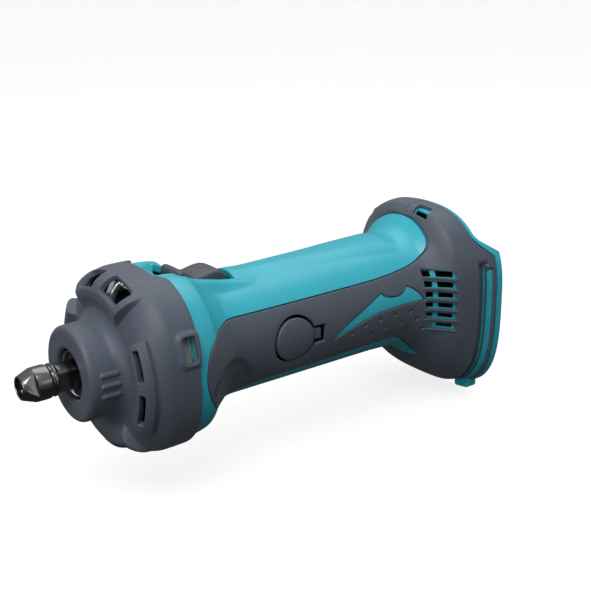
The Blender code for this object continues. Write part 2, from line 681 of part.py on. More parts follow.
def make_spindle():
    """One shaft from the collet seat to the rear bearing, with two spanner flats."""
    outer = [(REAR_BEARING[1] + MM, SHAFT_TAIL_RADIUS), (REAR_BEARING[0] - MM, SHAFT_TAIL_RADIUS),
             (REAR_BEARING[0] - MM, SHAFT_RADIUS), (37.0 * MM, SHAFT_RADIUS),
             (37.0 * MM, FRONT_BEARING[2]), (5.2 * MM, FRONT_BEARING[2]),
             (5.2 * MM, SPINDLE_COLLAR_RADIUS), (SPINDLE_COLLAR_X, SPINDLE_COLLAR_RADIUS),
             (SPINDLE_COLLAR_X, 5.6 * MM), (SPINDLE_NOSE_X, 5.6 * MM), (SPINDLE_NOSE_X, 4.95 * MM),
             (-4.8 * MM, 4.15 * MM), (-4.8 * MM, 3.2 * MM), (20.0 * MM, 3.2 * MM)]
    spindle = turned("spindle", outer, None, DARK_STEEL)
    for label, side in SIDES:
        y = sorted((side * SPANNER_FLAT, side * FAR))
        flat = box("spanner_flat_" + label, (SPINDLE_COLLAR_X - GAP, y[0], -FAR), (2.5 * MM, y[1], FAR))
        cut(spindle, flat)
    return spindle


def make_fan():
    """A radial fan: hub, back plate and straight blades."""
    hub = [(37.0 * MM, 9.0 * MM), (35.6 * MM, 9.0 * MM), (35.6 * MM, FAN_RADIUS),
           (34.2 * MM, FAN_RADIUS), (32.0 * MM, 14.0 * MM), (29.0 * MM, 9.0 * MM),
           (25.0 * MM, 9.0 * MM)]
    bore = FRONT_BEARING[2] + FIT
    fan = turned("cooling_fan", hub, [(25.0 * MM, bore), (37.0 * MM, bore)], DARK_PLASTIC)
    work = bmesh.new()
    for i in range(FAN_BLADES):
        turn = Matrix.Rotation(2 * math.pi * i / FAN_BLADES, 4, 'X')
        lean = Matrix.Rotation(math.radians(12.0), 4, 'X')
        middle = Matrix.Translation((30.5 * MM, 0.0, (8.0 * MM + FAN_RADIUS) / 2))
        size = Matrix.Diagonal((8.0 * MM, 1.1 * MM, FAN_RADIUS - 9.5 * MM, 1.0))
        bmesh.ops.create_cube(work, size=1.0, matrix=turn @ middle @ lean @ size)
    join(fan, place("fan_blades", to_mesh("fan_blades", work)))
    return fan


def slot_rods(name, x_range, radius):
    """A rod along X in each slot of the armature."""
    work = bmesh.new()
    for i in range(CORE_SLOTS):
        angle = 2 * math.pi * (i + 0.5) / CORE_SLOTS
        add_rod(work, polar(x_range[0], WINDING_RADIUS, angle), polar(x_range[1], WINDING_RADIUS, angle),
                radius, 10)
    return place(name, to_mesh(name, work))


def slot_mouths(name):
    """The narrow mouths of the armature's slots."""
    work = bmesh.new()
    for i in range(CORE_SLOTS):
        turn = Matrix.Rotation(2 * math.pi * (i + 0.5) / CORE_SLOTS, 4, 'X')
        middle = Matrix.Translation(((CORE_X[0] + CORE_X[1]) / 2, -15.5 * MM, 0.0))
        size = Matrix.Diagonal((CORE_X[1] - CORE_X[0] + 2 * MM, 5.0 * MM, 1.8 * MM, 1.0))
        bmesh.ops.create_cube(work, size=1.0, matrix=turn.inverted() @ middle @ size)
    return place(name, to_mesh(name, work))


def make_armature():
    core = ring("armature_core", CORE_X, SHAFT_RADIUS + FIT, CORE_RADIUS, IRON)
    cut(core, slot_rods("core_slots", (CORE_X[0] - MM, CORE_X[1] + MM), 2.5 * MM))
    cut(core, slot_mouths("core_mouths"))
    front = [(CORE_X[0] - GAP, 15.4 * MM), (CORE_X[0] - 3.0 * MM, 15.4 * MM),
             (CORE_X[0] - 4.4 * MM, 13.0 * MM)]
    front_inner = [(CORE_X[0] - 4.4 * MM, 8.0 * MM), (CORE_X[0] - GAP, 7.0 * MM)]
    winding = turned("armature_winding", front, front_inner, COPPER)
    rear = turned("winding_rear", [(CORE_X[1] + 4.4 * MM, 13.0 * MM), (CORE_X[1] + 3.0 * MM, 15.4 * MM),
                                   (CORE_X[1] + GAP, 15.4 * MM)],
                  [(CORE_X[1] + GAP, 7.0 * MM), (CORE_X[1] + 4.4 * MM, 8.0 * MM)])
    join(winding, slot_rods("winding_bars", (CORE_X[0] - MM, CORE_X[1] + MM), 2.1 * MM), rear)


def make_commutator():
    front, rear = COMMUTATOR_X
    riser = COMMUTATOR_RADIUS + 1.2 * MM
    outer = [(rear, COMMUTATOR_RADIUS), (front + 2.0 * MM, COMMUTATOR_RADIUS), (front + 2.0 * MM, riser),
             (front, riser)]
    bore = SHAFT_RADIUS + FIT
    commutator = turned("commutator", outer, [(front, bore), (rear, bore)], COPPER)
    work = bmesh.new()
    for i in range(CORE_SLOTS):
        turn = Matrix.Rotation(2 * math.pi * (i + 0.25) / CORE_SLOTS, 4, 'X')
        middle = Matrix.Translation(((front + rear) / 2, 0.0, COMMUTATOR_RADIUS))
        size = Matrix.Diagonal((rear - front + 2 * MM, 0.5 * MM, 1.4 * MM, 1.0))
        bmesh.ops.create_cube(work, size=1.0, matrix=turn @ middle @ size)
    cut(commutator, place("commutator_gaps", to_mesh("commutator_gaps", work)))


def make_field():
    """The steel can and its two magnets."""
    yoke_inner = YOKE_RADIUS - YOKE_WALL
    ring("motor_yoke", YOKE_X, yoke_inner, YOKE_RADIUS, IRON)
    half_span = math.radians(64.0)
    for label, middle in (("left", 0.0), ("right", math.pi)):
        start = middle - half_span
        corners = [(CORE_X[0], MAGNET_INNER), (CORE_X[1], MAGNET_INNER),
                   (CORE_X[1], MAGNET_OUTER), (CORE_X[0], MAGNET_OUTER)]
        work = bmesh.new()
        face = work.faces.new([work.verts.new(polar(x, r, start)) for x, r in corners])
        bmesh.ops.spin(work, geom=[face], cent=(0.0, 0.0, 0.0), axis=(-1.0, 0.0, 0.0),
                       angle=2 * half_span, steps=12)
        name = "magnet_" + label
        smooth(place(name, to_mesh(name, work), FERRITE))


def make_rear_bearing_seat():
    """The rubber ring that holds the rear bearing in the housing, and the web around it."""
    outside = REAR_BEARING[3]
    ring("bearing_sleeve", (REAR_BEARING[0], REAR_BEARING[1] + 0.8 * MM), outside + FIT,
         outside + 1.8 * MM, BLACK_RUBBER)
    web = ring("bearing_web", (REAR_BEARING[0] + 2.0 * MM, REAR_BEARING[1] + GAP), outside + 2.0 * MM,
               24.3 * MM, BLACK_PLASTIC)
    notch = box("web_notch", (REAR_BEARING[0] - MM, -5.0 * MM, 17.0 * MM),
                (REAR_BEARING[1] + 2 * MM, 5.0 * MM, FAR))
    cut(web, notch)


def make_brush_set(label, side):
    """Holder, carbon brush, spring, cap and outer cover of one side."""
    axis = (BRUSH_X, 0.0, 0.0)

    def at(y):
        return (axis[0], side * y, axis[2])

    half_x, half_z = BRUSH_SIZE[0] / 2, BRUSH_SIZE[1] / 2
    tip = COMMUTATOR_RADIUS + GAP
    shoulder = 15.3 * MM
    stem_end = 18.2 * MM
    holder = rod("brush_holder_" + label, at(11.5 * MM), at(21.0 * MM), 7.6 * MM, BRASS, 24)
    low_y, high_y = sorted((side * 10.0 * MM, side * 17.2 * MM))
    channel = box("brush_channel_" + label,
                  (BRUSH_X - half_x - FIT, low_y, -half_z - FIT),
                  (BRUSH_X + half_x + FIT, high_y, half_z + FIT))
    cut(holder, channel, rod("spring_bore_" + label, at(10.0 * MM), at(25.0 * MM), 2.9 * MM))
    low_y, high_y = sorted((side * tip, side * shoulder))
    brush = box("carbon_brush_" + label, (BRUSH_X - half_x, low_y, -half_z),
                (BRUSH_X + half_x, high_y, half_z), CARBON)
    join(brush, rod("brush_stem_" + label, at(shoulder - MM), at(stem_end), 1.3 * MM, segments=12))
    turn_about(brush, axis)
    coil("brush_spring_" + label, at(shoulder + BRUSH_TRAVEL + 0.6 * MM), at(20.9 * MM), 2.2 * MM,
         0.3 * MM, 3.5)
    cap = rod("brush_cap_" + label, at(21.3 * MM), at(23.8 * MM), 7.6 * MM, BLACK_PLASTIC, 24)
    low_y, high_y = sorted((side * 22.8 * MM, side * 25.0 * MM))
    cut(cap, box("cap_slot_" + label, (BRUSH_X - 5.5 * MM, low_y, -0.6 * MM),
                 (BRUSH_X + 5.5 * MM, high_y, 0.6 * MM)))
    cover = rod("brush_cover_" + label, at(24.1 * MM), at(35.0 * MM), COVER_DISC_RADIUS, GREY_RUBBER, 20)
    keep_inside(cover, half_skin("cover_skin_" + label, side, 80.0 * MM, 120.0 * MM, 0.0))


def wire(name, points, radius, finish, roundness=2):
    """A round wire through a row of points, with closed ends."""
    curve = bpy.data.curves.new(name, 'CURVE')
    curve.dimensions = '3D'
    curve.bevel_depth = radius
    curve.bevel_resolution = roundness
    curve.use_fill_caps = True
    spline = curve.splines.new('POLY')
    spline.points.add(len(points) - 1)
    for target, point in zip(spline.points, points):
        target.co = (*point, 1)
    return place(name, curve, finish)


def coil(name, start, end, radius, thickness, turns):
    """A compression spring along Y, made from a round wire."""
    per_turn = 8
    count = int(turns * per_turn)
    points = []
    for i in range(count + 1):
        angle = 2 * math.pi * i / per_turn
        y = start[1] + (end[1] - start[1]) * i / count
        points.append((start[0] + radius * math.cos(angle), y, start[2] + radius * math.sin(angle)))
    wire(name, points, thickness, STEEL, roundness=1)


# ---------------------------------------------------------------- collet and nut

def make_collet():
    """A slit spring collet with a cone at each end."""
    outer = [(-5.0 * MM, 3.95 * MM), (-15.2 * MM, 4.5 * MM), (-18.4 * MM, 4.45 * MM),
             (-20.2 * MM, 3.7 * MM)]
    inner = [(-20.2 * MM, COLLET_BORE), (-5.0 * MM, COLLET_BORE)]
    collet = turned("collet", outer, inner, STEEL)
    for i in range(3):
        turn = Matrix.Rotation(2 * math.pi * i / 3, 4, 'X')
        work = bmesh.new()
        middle = Matrix.Translation((-16.0 * MM, 0.0, 4.0 * MM))
        size = Matrix.Diagonal((18.0 * MM, 0.7 * MM, 5.0 * MM, 1.0))
        bmesh.ops.create_cube(work, size=1.0, matrix=turn @ middle @ size)
        cut(collet, place("collet_slit_%d" % i, to_mesh("collet_slit", work)))


def make_nut():
    """Collet nut: a taper with two spanner flats in front, a round skirt behind."""
    outer = [(NUT_REAR, 6.6 * MM), (-7.4 * MM, NUT_RADIUS), (-8.4 * MM, NUT_RADIUS), (-8.8 * MM, 6.9 * MM),
             (-9.4 * MM, 6.9 * MM), (-9.8 * MM, NUT_RADIUS), (-16.2 * MM, NUT_RADIUS),
             (-17.4 * MM, 7.0 * MM), (-21.9 * MM, 5.0 * MM), (NUT_FRONT, 4.6 * MM)]
    inner = [(NUT_FRONT, 4.1 * MM), (-20.1 * MM, 4.1 * MM), (-18.6 * MM, 4.75 * MM),
             (-16.0 * MM, 4.75 * MM), (-16.0 * MM, 5.6 * MM + FIT), (NUT_REAR, 5.6 * MM + FIT)]
    nut = turned("collet_nut", outer, inner, DARK_STEEL)
    work = bmesh.new()
    middle = Matrix.Translation((NUT_FRONT, 0.0, 0.0))
    size = Matrix.Diagonal((20.0 * MM, NUT_FLATS, 30.0 * MM, 1.0))
    bmesh.ops.create_cube(work, size=1.0, matrix=Matrix.Rotation(-NUT_TURN, 4, 'X') @ middle @ size)
    block = rod("nut_block", (NUT_FRONT - MM, 0.0, 0.0), (-16.4 * MM, 0.0, 0.0), 12.0 * MM, segments=12)
    cut(block, place("nut_flats", to_mesh("nut_flats", work)))
    cut(nut, block)


# ---------------------------------------------------------------- switch

def make_switch():
    """The rocking knob, its carriage and link, and the switch unit behind the motor."""
    knob = [(50.6, 30.1), (50.4, 34.8), (51.6, 36.0), (53.4, 36.0), (57.2, 32.6), (59.6, 31.6),
            (64.0, 32.4), (68.6, 33.0), (73.0, 31.4), (77.0, 28.4), (77.0, 27.4), (62.0, 27.8),
            (60.0, 27.8), (54.0, 29.2)]
    half = SWITCH_HALF_WIDTH
    made = prism("switch_knob", [(x * MM, z * MM) for x, z in knob], (-half, half), DARK_PLASTIC)
    turn_about(made, SWITCH_PIVOT)
    bevel = made.modifiers.new("edges", 'BEVEL')
    bevel.width = 0.7 * MM
    bevel.segments = 1
    bevel.limit_method = 'ANGLE'
    bevel.angle_limit = math.radians(50.0)

    carriage = box("switch_carriage", (54.0 * MM, -6.0 * MM, 25.0 * MM), (72.0 * MM, 6.0 * MM, 26.4 * MM),
                   BLACK_PLASTIC)
    pad = box("carriage_pad", (59.5 * MM, -2.0 * MM, 26.0 * MM), (62.5 * MM, 2.0 * MM, 27.4 * MM))
    strap = box("carriage_strap", (71.0 * MM, -3.4 * MM, 23.6 * MM), (127.0 * MM, 3.4 * MM, 24.5 * MM))
    step = box("carriage_step", (70.0 * MM, -3.4 * MM, 23.6 * MM), (72.0 * MM, 3.4 * MM, 26.0 * MM))
    leg = box("carriage_leg", (124.0 * MM, -3.4 * MM, 15.0 * MM), (127.0 * MM, 3.4 * MM, 24.0 * MM))
    join(carriage, pad, step, strap, leg)

    body = box("switch_unit", (122.5 * MM, -8.5 * MM, -4.0 * MM), (150.0 * MM, 8.5 * MM, 19.0 * MM),
               BLACK_PLASTIC)
    cut(body, box("unit_slot", (122.0 * MM, -3.9 * MM, 14.0 * MM), (134.0 * MM, 3.9 * MM, 20.0 * MM)))


# ---------------------------------------------------------------- electrics

def make_electrics():
    """Control board, terminal block with its blades, cushion and leads."""
    box("control_board", (152.0 * MM, -10.0 * MM, -9.0 * MM), (186.0 * MM, 10.0 * MM, -7.0 * MM), GREEN_BOARD)
    block = box("terminal_block", (TERMINAL_X[0], -TERMINAL_HALF, TERMINAL_Z[0]),
                (TERMINAL_X[1], TERMINAL_HALF, TERMINAL_Z[1]), BLACK_PLASTIC)
    for label, y, height in BLADES:
        low, high = TERMINAL_X
        cut(block, box("blade_slot_" + label, (low + 1.1 * MM, y - 1.4 * MM, -12.0 * MM),
                       (high + MM, y + 1.4 * MM, TERMINAL_Z[1] + MM)))
        box("terminal_" + label, (low + 1.5 * MM, y - 0.5 * MM, -height / 2 - 2.0 * MM),
            (high - 0.4 * MM, y + 0.5 * MM, height / 2 - 2.0 * MM), BRASS)
    cushion = ring("battery_cushion", (209.6 * MM, 212.6 * MM), 2.0 * MM, 4.5 * MM, BLACK_RUBBER, steps=16)
    cushion.location.z = -30.0 * MM
    for name, y, finish in (("lead_positive", 11.0, RED_WIRE), ("lead_negative", -11.0, BLACK_WIRE)):
        inward = math.copysign(6.0, y)
        path = [(200.8, y, 2.0), (192.0, y, 2.0), (176.0, inward, 3.0), (150.9, inward, 3.0)]
        wire(name, [Vector(point) * MM for point in path], 1.1 * MM, finish)
    for label, side in SIDES:
        finish = RED_WIRE if side > 0 else BLACK_WIRE
        path = [(122.0, side * 6.5, 2.0), (117.0, side * 10.0, 2.0), (115.4, side * 16.5, 2.0),
                (115.2, side * 19.5, 2.0)]
        wire("motor_lead_" + label, [Vector(point) * MM for point in path], 0.9 * MM, finish)


def make_screws():
    """The screws of the bearing box and those that hold the halves together."""
    for i, angle in enumerate(screw_angles()):
        name = "head_screw_%d" % (i + 1)
        screw = rod(name, polar(25.0 * MM, HEAD_SCREW_RADIUS, angle),
                    polar(56.0 * MM, HEAD_SCREW_RADIUS, angle), SCREW_RADIUS, STEEL, 12)
        head = rod(name + "_head", polar(26.2 * MM - SCREW_HEAD_HEIGHT, HEAD_SCREW_RADIUS, angle),
                   polar(25.8 * MM, HEAD_SCREW_RADIUS, angle), SCREW_HEAD_RADIUS, segments=12)
        join(screw, head)
    for i, (x, z) in enumerate(HOUSING_SCREWS):
        name = "housing_screw_%d" % (i + 1)
        face = skin_y(x, z, 0.0)
        seat = face - SCREW_SINK + GAP
        screw = rod(name, (x, -0.66 * face, z), (x, seat + MM, z), SCREW_RADIUS, STEEL, 12)
        head = rod(name + "_head", (x, seat, z), (x, seat + SCREW_HEAD_HEIGHT, z), SCREW_HEAD_RADIUS,
                   segments=12)
        join(screw, head)


make_front_cover()
make_bearing_box()
make_bearing("front_bearing", FRONT_BEARING)
make_bearing("rear_bearing", REAR_BEARING)
make_nose_rings()
make_fan_baffle()
for half_label, half_side in SIDES:
    make_housing(half_label, half_side)
    make_grip(half_label, half_side)
    make_brush_set(half_label, half_side)
make_spindle()
make_fan()
make_armature()
make_commutator()
make_field()
make_rear_bearing_seat()
make_collet()
make_nut()
make_switch()
make_electrics()
make_screws()
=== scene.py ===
import math

import bmesh
import bpy
import numpy as np
from mathutils import Matrix, Vector, geometry, kdtree


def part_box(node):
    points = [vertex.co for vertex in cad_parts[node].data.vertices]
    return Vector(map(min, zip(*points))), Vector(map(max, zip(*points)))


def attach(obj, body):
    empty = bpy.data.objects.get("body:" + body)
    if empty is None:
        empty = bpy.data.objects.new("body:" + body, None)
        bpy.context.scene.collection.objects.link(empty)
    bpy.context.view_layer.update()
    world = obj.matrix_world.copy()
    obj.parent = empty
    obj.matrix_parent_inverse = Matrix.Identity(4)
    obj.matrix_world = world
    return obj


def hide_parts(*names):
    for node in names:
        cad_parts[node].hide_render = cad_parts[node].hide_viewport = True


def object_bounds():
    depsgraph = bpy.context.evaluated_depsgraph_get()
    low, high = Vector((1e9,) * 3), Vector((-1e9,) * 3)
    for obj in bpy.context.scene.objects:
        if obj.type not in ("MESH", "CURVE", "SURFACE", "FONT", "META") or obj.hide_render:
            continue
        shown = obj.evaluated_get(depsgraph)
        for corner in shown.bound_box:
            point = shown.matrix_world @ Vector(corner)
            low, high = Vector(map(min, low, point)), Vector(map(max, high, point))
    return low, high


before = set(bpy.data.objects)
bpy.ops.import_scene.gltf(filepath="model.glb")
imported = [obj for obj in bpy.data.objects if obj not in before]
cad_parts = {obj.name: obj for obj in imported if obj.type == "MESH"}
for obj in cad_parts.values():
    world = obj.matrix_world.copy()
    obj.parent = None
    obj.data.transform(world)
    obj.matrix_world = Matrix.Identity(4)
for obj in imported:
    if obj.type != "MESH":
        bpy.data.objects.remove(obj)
cad_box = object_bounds()

# Lengths are millimetres, with X counted from the nose face, as in the CAD. Every mesh is written in
# that way, scaled to metres, and its object stands at the nose face.
MM = 0.001
NOSE = Vector((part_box("front_cover")[0].x, 0.0, 0.0))
SIDES = (("left", 1.0), ("right", -1.0))     # a mesh made for the -Y side, mirrored for the right


# ---------------------------------------------------------------- numbers

def through(xs, ys):
    """A smooth monotone curve through points, straight beyond its ends."""
    xs, ys = np.asarray(xs, float), np.asarray(ys, float)
    gap = np.diff(xs)
    slope = np.diff(ys) / gap
    tangent = np.zeros(len(xs))
    tangent[0], tangent[-1] = slope[0], slope[-1]
    for i in range(1, len(xs) - 1):
        a, b = slope[i - 1], slope[i]
        if a * b > 0:
            p, q = 2 * gap[i] + gap[i - 1], gap[i] + 2 * gap[i - 1]
            tangent[i] = (p + q) / (p / a + q / b)

    def value(x):
        x = np.asarray(x, float)
        held = np.clip(x, xs[0], xs[-1])
        i = np.clip(np.searchsorted(xs, held) - 1, 0, len(xs) - 2)
        t = (held - xs[i]) / gap[i]
        found = (ys[i] * (1 + 2 * t) * (1 - t) ** 2 + tangent[i] * gap[i] * t * (1 - t) ** 2
                 + ys[i + 1] * t * t * (3 - 2 * t) + tangent[i + 1] * gap[i] * t * t * (t - 1))
        return found + np.where(x < xs[0], (x - xs[0]) * tangent[0], 0) + np.where(
            x > xs[-1], (x - xs[-1]) * tangent[-1], 0)
    return value


def ease(x, low, high):
    """0 below low, 1 above high, smooth between them."""
    t = np.clip((np.asarray(x, float) - low) / (high - low), 0, 1)
    return t * t * (3 - 2 * t)


def resample(points, step, closed=True):
    """The same line with no segment longer than step."""
    points = [np.asarray(p, float) for p in points]
    ends = points[1:] + points[:1] if closed else points[1:]
    line = []
    for a, b in zip(points, ends):
        count = max(1, int(math.ceil(np.linalg.norm(b - a) / step)))
        line += [a + (b - a) * i / count for i in range(count)]
    if not closed:
        line.append(points[-1])
    return np.array(line)


def rounded(points, radius, steps=5):
    """A closed outline with its corners filleted; radius is one number or one for each corner."""
    points = [np.asarray(p, float) for p in points]
    count = len(points)
    radii = radius if hasattr(radius, "__len__") else [radius] * count
    line = []
    for i, p in enumerate(points):
        a, b = points[i - 1] - p, points[(i + 1) % count] - p
        la, lb = np.linalg.norm(a), np.linalg.norm(b)
        a, b = a / la, b / lb
        half = math.acos(np.clip(a @ b, -1, 1)) / 2
        if radii[i] <= 0 or half > 1.55:
            line.append(p)
            continue
        reach = min(radii[i] / math.tan(half), 0.48 * la, 0.48 * lb)
        r = reach * math.tan(half)
        middle = p + (a + b) / np.linalg.norm(a + b) * r / math.sin(half)
        start, end = p + a * reach - middle, p + b * reach - middle
        first = math.atan2(start[1], start[0])
        turn = (math.atan2(end[1], end[0]) - first + math.pi) % (2 * math.pi) - math.pi
        angles = first + turn * np.arange(steps + 1) / steps
        line += list(middle + r * np.stack([np.cos(angles), np.sin(angles)], 1))
    return line


def box_loop(x0, x1, y0, y1, radius):
    return rounded([(x0, y0), (x1, y0), (x1, y1), (x0, y1)], radius)



# ---------------------------------------------------------------- meshes

def piece(name, mesh, body, finish, stands_for=(), angle=35.0):
    """Put a mesh in the frame: it rides on a body and may stand for CAD nodes."""
    made = bpy.data.objects.new(name, mesh)
    bpy.context.scene.collection.objects.link(made)
    made.location = NOSE
    mesh.materials.append(finish)
    mesh.shade_smooth()
    mesh.set_sharp_from_angle(angle=math.radians(angle))
    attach(made, body)
    if stands_for:
        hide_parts(*stands_for)
    return made


def mesh_from(name, verts, faces):
    mesh = bpy.data.meshes.new(name)
    mesh.from_pydata([tuple(v) for v in np.asarray(verts, float) * MM], [], faces)
    mesh.update()
    return mesh


def mesh_of(name, work):
    """A mesh from a bmesh in millimetres."""
    bmesh.ops.scale(work, vec=(MM, MM, MM), verts=work.verts)
    mesh = bpy.data.meshes.new(name)
    work.to_mesh(mesh)
    work.free()
    return mesh


def cleaned(mesh, merge=0.0, outward=False):
    """The mesh with close vertices merged and, if asked, its faces turned outward."""
    work = bmesh.new()
    work.from_mesh(mesh)
    if merge:
        bmesh.ops.remove_doubles(work, verts=work.verts, dist=merge * MM)
    if outward:
        bmesh.ops.recalc_face_normals(work, faces=work.faces)
    work.to_mesh(mesh)
    work.free()
    return mesh


def tree_of(points):
    """A search tree over flat points."""
    tree = kdtree.KDTree(len(points))
    for i, p in enumerate(points):
        tree.insert((p[0], p[1], 0.0), i)
    tree.balance()
    return tree


EDGE_ROWS = (0.1, 0.35, 0.68, 1.05, 1.7)      # rows of vertices beside an edge, in edge radii


class Edge:
    """The boundary loops of a sheet, with the material on their left."""

    def __init__(self, loops, radii):
        self.a, self.b, self.radius, self.left = [], [], [], []
        self.before, self.after = [], []
        start = 0
        for points, radius in zip(loops, radii):
            n = len(points)
            nxt = np.roll(points, -1, axis=0)
            along = nxt - points
            along = along / np.linalg.norm(along, axis=1)[:, None]
            self.a.append(points)
            self.b.append(nxt)
            self.left.append(np.stack([-along[:, 1], along[:, 0]], 1))
            self.radius.append(np.full(n, 0.0) + radius)
            index = np.arange(n)
            self.before.append(start + (index - 1) % n)
            self.after.append(start + index)
            start += n
        for field in ("a", "b", "left", "radius", "before", "after"):
            setattr(self, field, np.concatenate(getattr(self, field)))
        self.tree = tree_of(self.a)

    def measure(self, points):
        """Distance from the edge, positive inside, and the edge radius there."""
        near = np.array([self.tree.find((p[0], p[1], 0.0))[1] for p in points])
        best, sign, radius = np.full(len(points), 1e9), np.ones(len(points)), np.zeros(len(points))
        corner = self.left[self.before[near]] + self.left[self.after[near]]
        for which in (self.before, self.after):
            s = which[near]
            a, b = self.a[s], self.b[s]
            along = b - a
            t = np.clip(((points - a) * along).sum(1) / (along ** 2).sum(1), 0, 1)
            off = points - (a + along * t[:, None])
            distance = np.linalg.norm(off, axis=1)
            normal = np.where(((t > 1e-6) & (t < 1 - 1e-6))[:, None], self.left[s], corner)
            closer = distance < best
            best = np.where(closer, distance, best)
            sign = np.where(closer, np.where((off * normal).sum(1) >= -1e-9, 1.0, -1.0), sign)
            radius = np.where(closer, self.radius[s], radius)
        return best * sign, radius


def signed_area(points):
    x, y = np.asarray(points).T
    return 0.5 * np.sum(x * np.roll(y, -1) - y * np.roll(x, -1))


def offset_points(line, distance, closed=True):
    """Points beside a line, on its left for a positive distance."""
    line = np.asarray(line, float)
    before, after = np.roll(line, 1, axis=0), np.roll(line, -1, axis=0)
    if not closed:
        before[0], after[-1] = line[0], line[-1]
    along = after - before
    along = along / np.maximum(np.linalg.norm(along, axis=1), 1e-9)[:, None]
    return line + np.stack([-along[:, 1], along[:, 0]], 1) * distance


def sheet_loops(outer, holes, edge_step, seam):
    """The outlines of a sheet, material on their left, and the edge radius at each point."""
    loops, radii = [], []
    for k, (points, radius) in enumerate([outer] + list(holes)):
        line = resample(points, edge_step)
        if (signed_area(line) > 0) == (k > 0):
            line = line[::-1]
        if callable(radius):
            radius = radius(line)
        if seam is not None and k == 0:
            ends = (np.abs(line[:, 1] - seam[0]) < 1e-6) | (np.abs(line[:, 1] - seam[1]) < 1e-6)
            radius = np.where(ends & np.roll(ends, -1), 0.0, radius)
        loops.append(line)
        radii.append(radius)
    return loops, radii


def placed_points(loops, radii, edge, lines, dots, edge_step):
    """Vertices in rows beside the outlines and the given lines, and loose ones."""
    placed = []
    for line, radius in zip(loops, radii):
        r = float(np.max(radius))
        for share in (EDGE_ROWS if r > 0 else ()):
            row = offset_points(line, share * r)
            distance, _ = edge.measure(row)
            placed.append(row[distance > 0.9 * share * r])
    for line, closed, offsets in lines:
        dense = resample(line, edge_step, closed)
        placed += [offset_points(dense, d, closed) for d in offsets]
    if len(dots):
        placed.append(np.asarray(dots, float))
    if not placed:
        return np.zeros((0, 2))
    placed = np.concatenate(placed)
    distance, _ = edge.measure(placed)
    return placed[distance > 0.02]


def fill_points(loop, edge, placed, step):
    """A triangular grid of vertices, clear of the edge and of the placed ones."""
    low, high = loop.min(0), loop.max(0)
    rows = []
    for j, y in enumerate(np.arange(low[1], high[1], step * 0.87)):
        xs = np.arange(low[0] + (step / 2 if j % 2 else 0), high[0], step)
        rows.append(np.stack([xs, np.full(len(xs), y)], 1))
    fill = np.concatenate(rows)
    distance, _ = edge.measure(fill)
    fill = fill[distance > 0.6 * step]
    if len(placed):
        tree = tree_of(placed)
        fill = fill[np.array([tree.find((p[0], p[1], 0.0))[2] > 0.55 * step for p in fill])]
    return fill


def triangles(loops, points, edge):
    """The points joined into counterclockwise triangles, kept where they are inside the outlines."""
    edges, start = [], 0
    for line in loops:
        n = len(line)
        edges += [(start + i, start + (i + 1) % n) for i in range(n)]
        start += n
    found = geometry.delaunay_2d_cdt([Vector(p) for p in points], edges, [], 0, 1e-4)
    flat = np.array([tuple(p) for p in found[0]])
    tris = np.array([f for f in found[2] if len(f) == 3])
    distance, _ = edge.measure(flat[tris].mean(1))
    tris = tris[distance > 0]
    a, b, c = flat[tris[:, 0]], flat[tris[:, 1]], flat[tris[:, 2]]
    area = (b[:, 0] - a[:, 0]) * (c[:, 1] - a[:, 1]) - (b[:, 1] - a[:, 1]) * (c[:, 0] - a[:, 0])
    tris = tris[np.abs(area) > 1e-7]
    area = area[np.abs(area) > 1e-7]
    tris[area < 0] = tris[area < 0][:, ::-1]
    used = np.unique(tris)
    index = np.full(len(flat), -1)
    index[used] = np.arange(len(used))
    return flat[used], index[tris]


def sheet(outer, holes, surface, step, thickness, lift=None, lines=(), dots=(), seam=None, flip=False,
          edge_step=None):
    """A thick curved sheet cut to outlines, with rounded edges.

    outer and holes are (points, edge radius) in the surface's own two coordinates. surface gives the
    points and outward normals, lift a height above it, thickness how far below it the back is. lines are
    (points, closed, offsets) that get rows of vertices beside them, and dots are loose extra vertices.
    Along seam, two values of the second coordinate, the sheet closes on itself. Returns vertices and faces.
    """
    edge_step = edge_step or step
    loops, radii = sheet_loops(outer, holes, edge_step, seam)
    edge = Edge(loops, radii)
    placed = placed_points(loops, radii, edge, lines, dots, edge_step)
    fill = fill_points(loops[0], edge, placed, step)
    flat, tris = triangles(loops, np.concatenate(loops + [placed, fill]), edge)
    distance, radius = edge.measure(flat)
    distance = np.maximum(distance, 0)
    arc = np.sqrt(np.maximum(radius ** 2 - (radius - distance) ** 2, 0))
    drop = np.where(distance < radius, radius - arc, 0)
    base, normal = surface(flat[:, 0], flat[:, 1])
    height = (lift(flat[:, 0], flat[:, 1], base) if lift else 0.0) - drop
    depth = thickness(flat[:, 0], flat[:, 1], base) if callable(thickness) else thickness
    top = base + normal * height[:, None]
    bottom = base - normal * np.broadcast_to(depth, len(base))[:, None]
    n = len(flat)
    faces = [tuple(int(i) for i in t) for t in tris] + [tuple(int(i) + n for i in t[::-1]) for t in tris]
    one_way = {(t[i], t[(i + 1) % 3]): True for t in tris for i in range(3)}
    for (i, j) in one_way:
        if (j, i) in one_way:
            continue
        if seam is not None and any(abs(flat[i, 1] - s) < 1e-5 and abs(flat[j, 1] - s) < 1e-5 for s in seam):
            continue
        faces.append((int(j), int(i), int(i) + n, int(j) + n))
    if flip:
        faces = [f[::-1] for f in faces]
    return np.concatenate([top, bottom]), faces


def row(line):
    """One row of extra vertices along an open line."""
    return (line, False, (0.0,))


def sheet_mesh(name, parts_list, side=1.0, weld=False):
    """One mesh from several sheets; side -1 mirrors it to the +Y side."""
    verts, faces, start = [], [], 0
    for v, f in parts_list:
        verts.append(v)
        faces += [tuple(i + start for i in face) for face in f]
        start += len(v)
    verts = np.concatenate(verts)
    if side < 0:
        verts = verts * np.array([1.0, -1.0, 1.0])
        faces = [f[::-1] for f in faces]
    mesh = mesh_from(name, verts, faces)
    return cleaned(mesh, 0.002) if weld else mesh


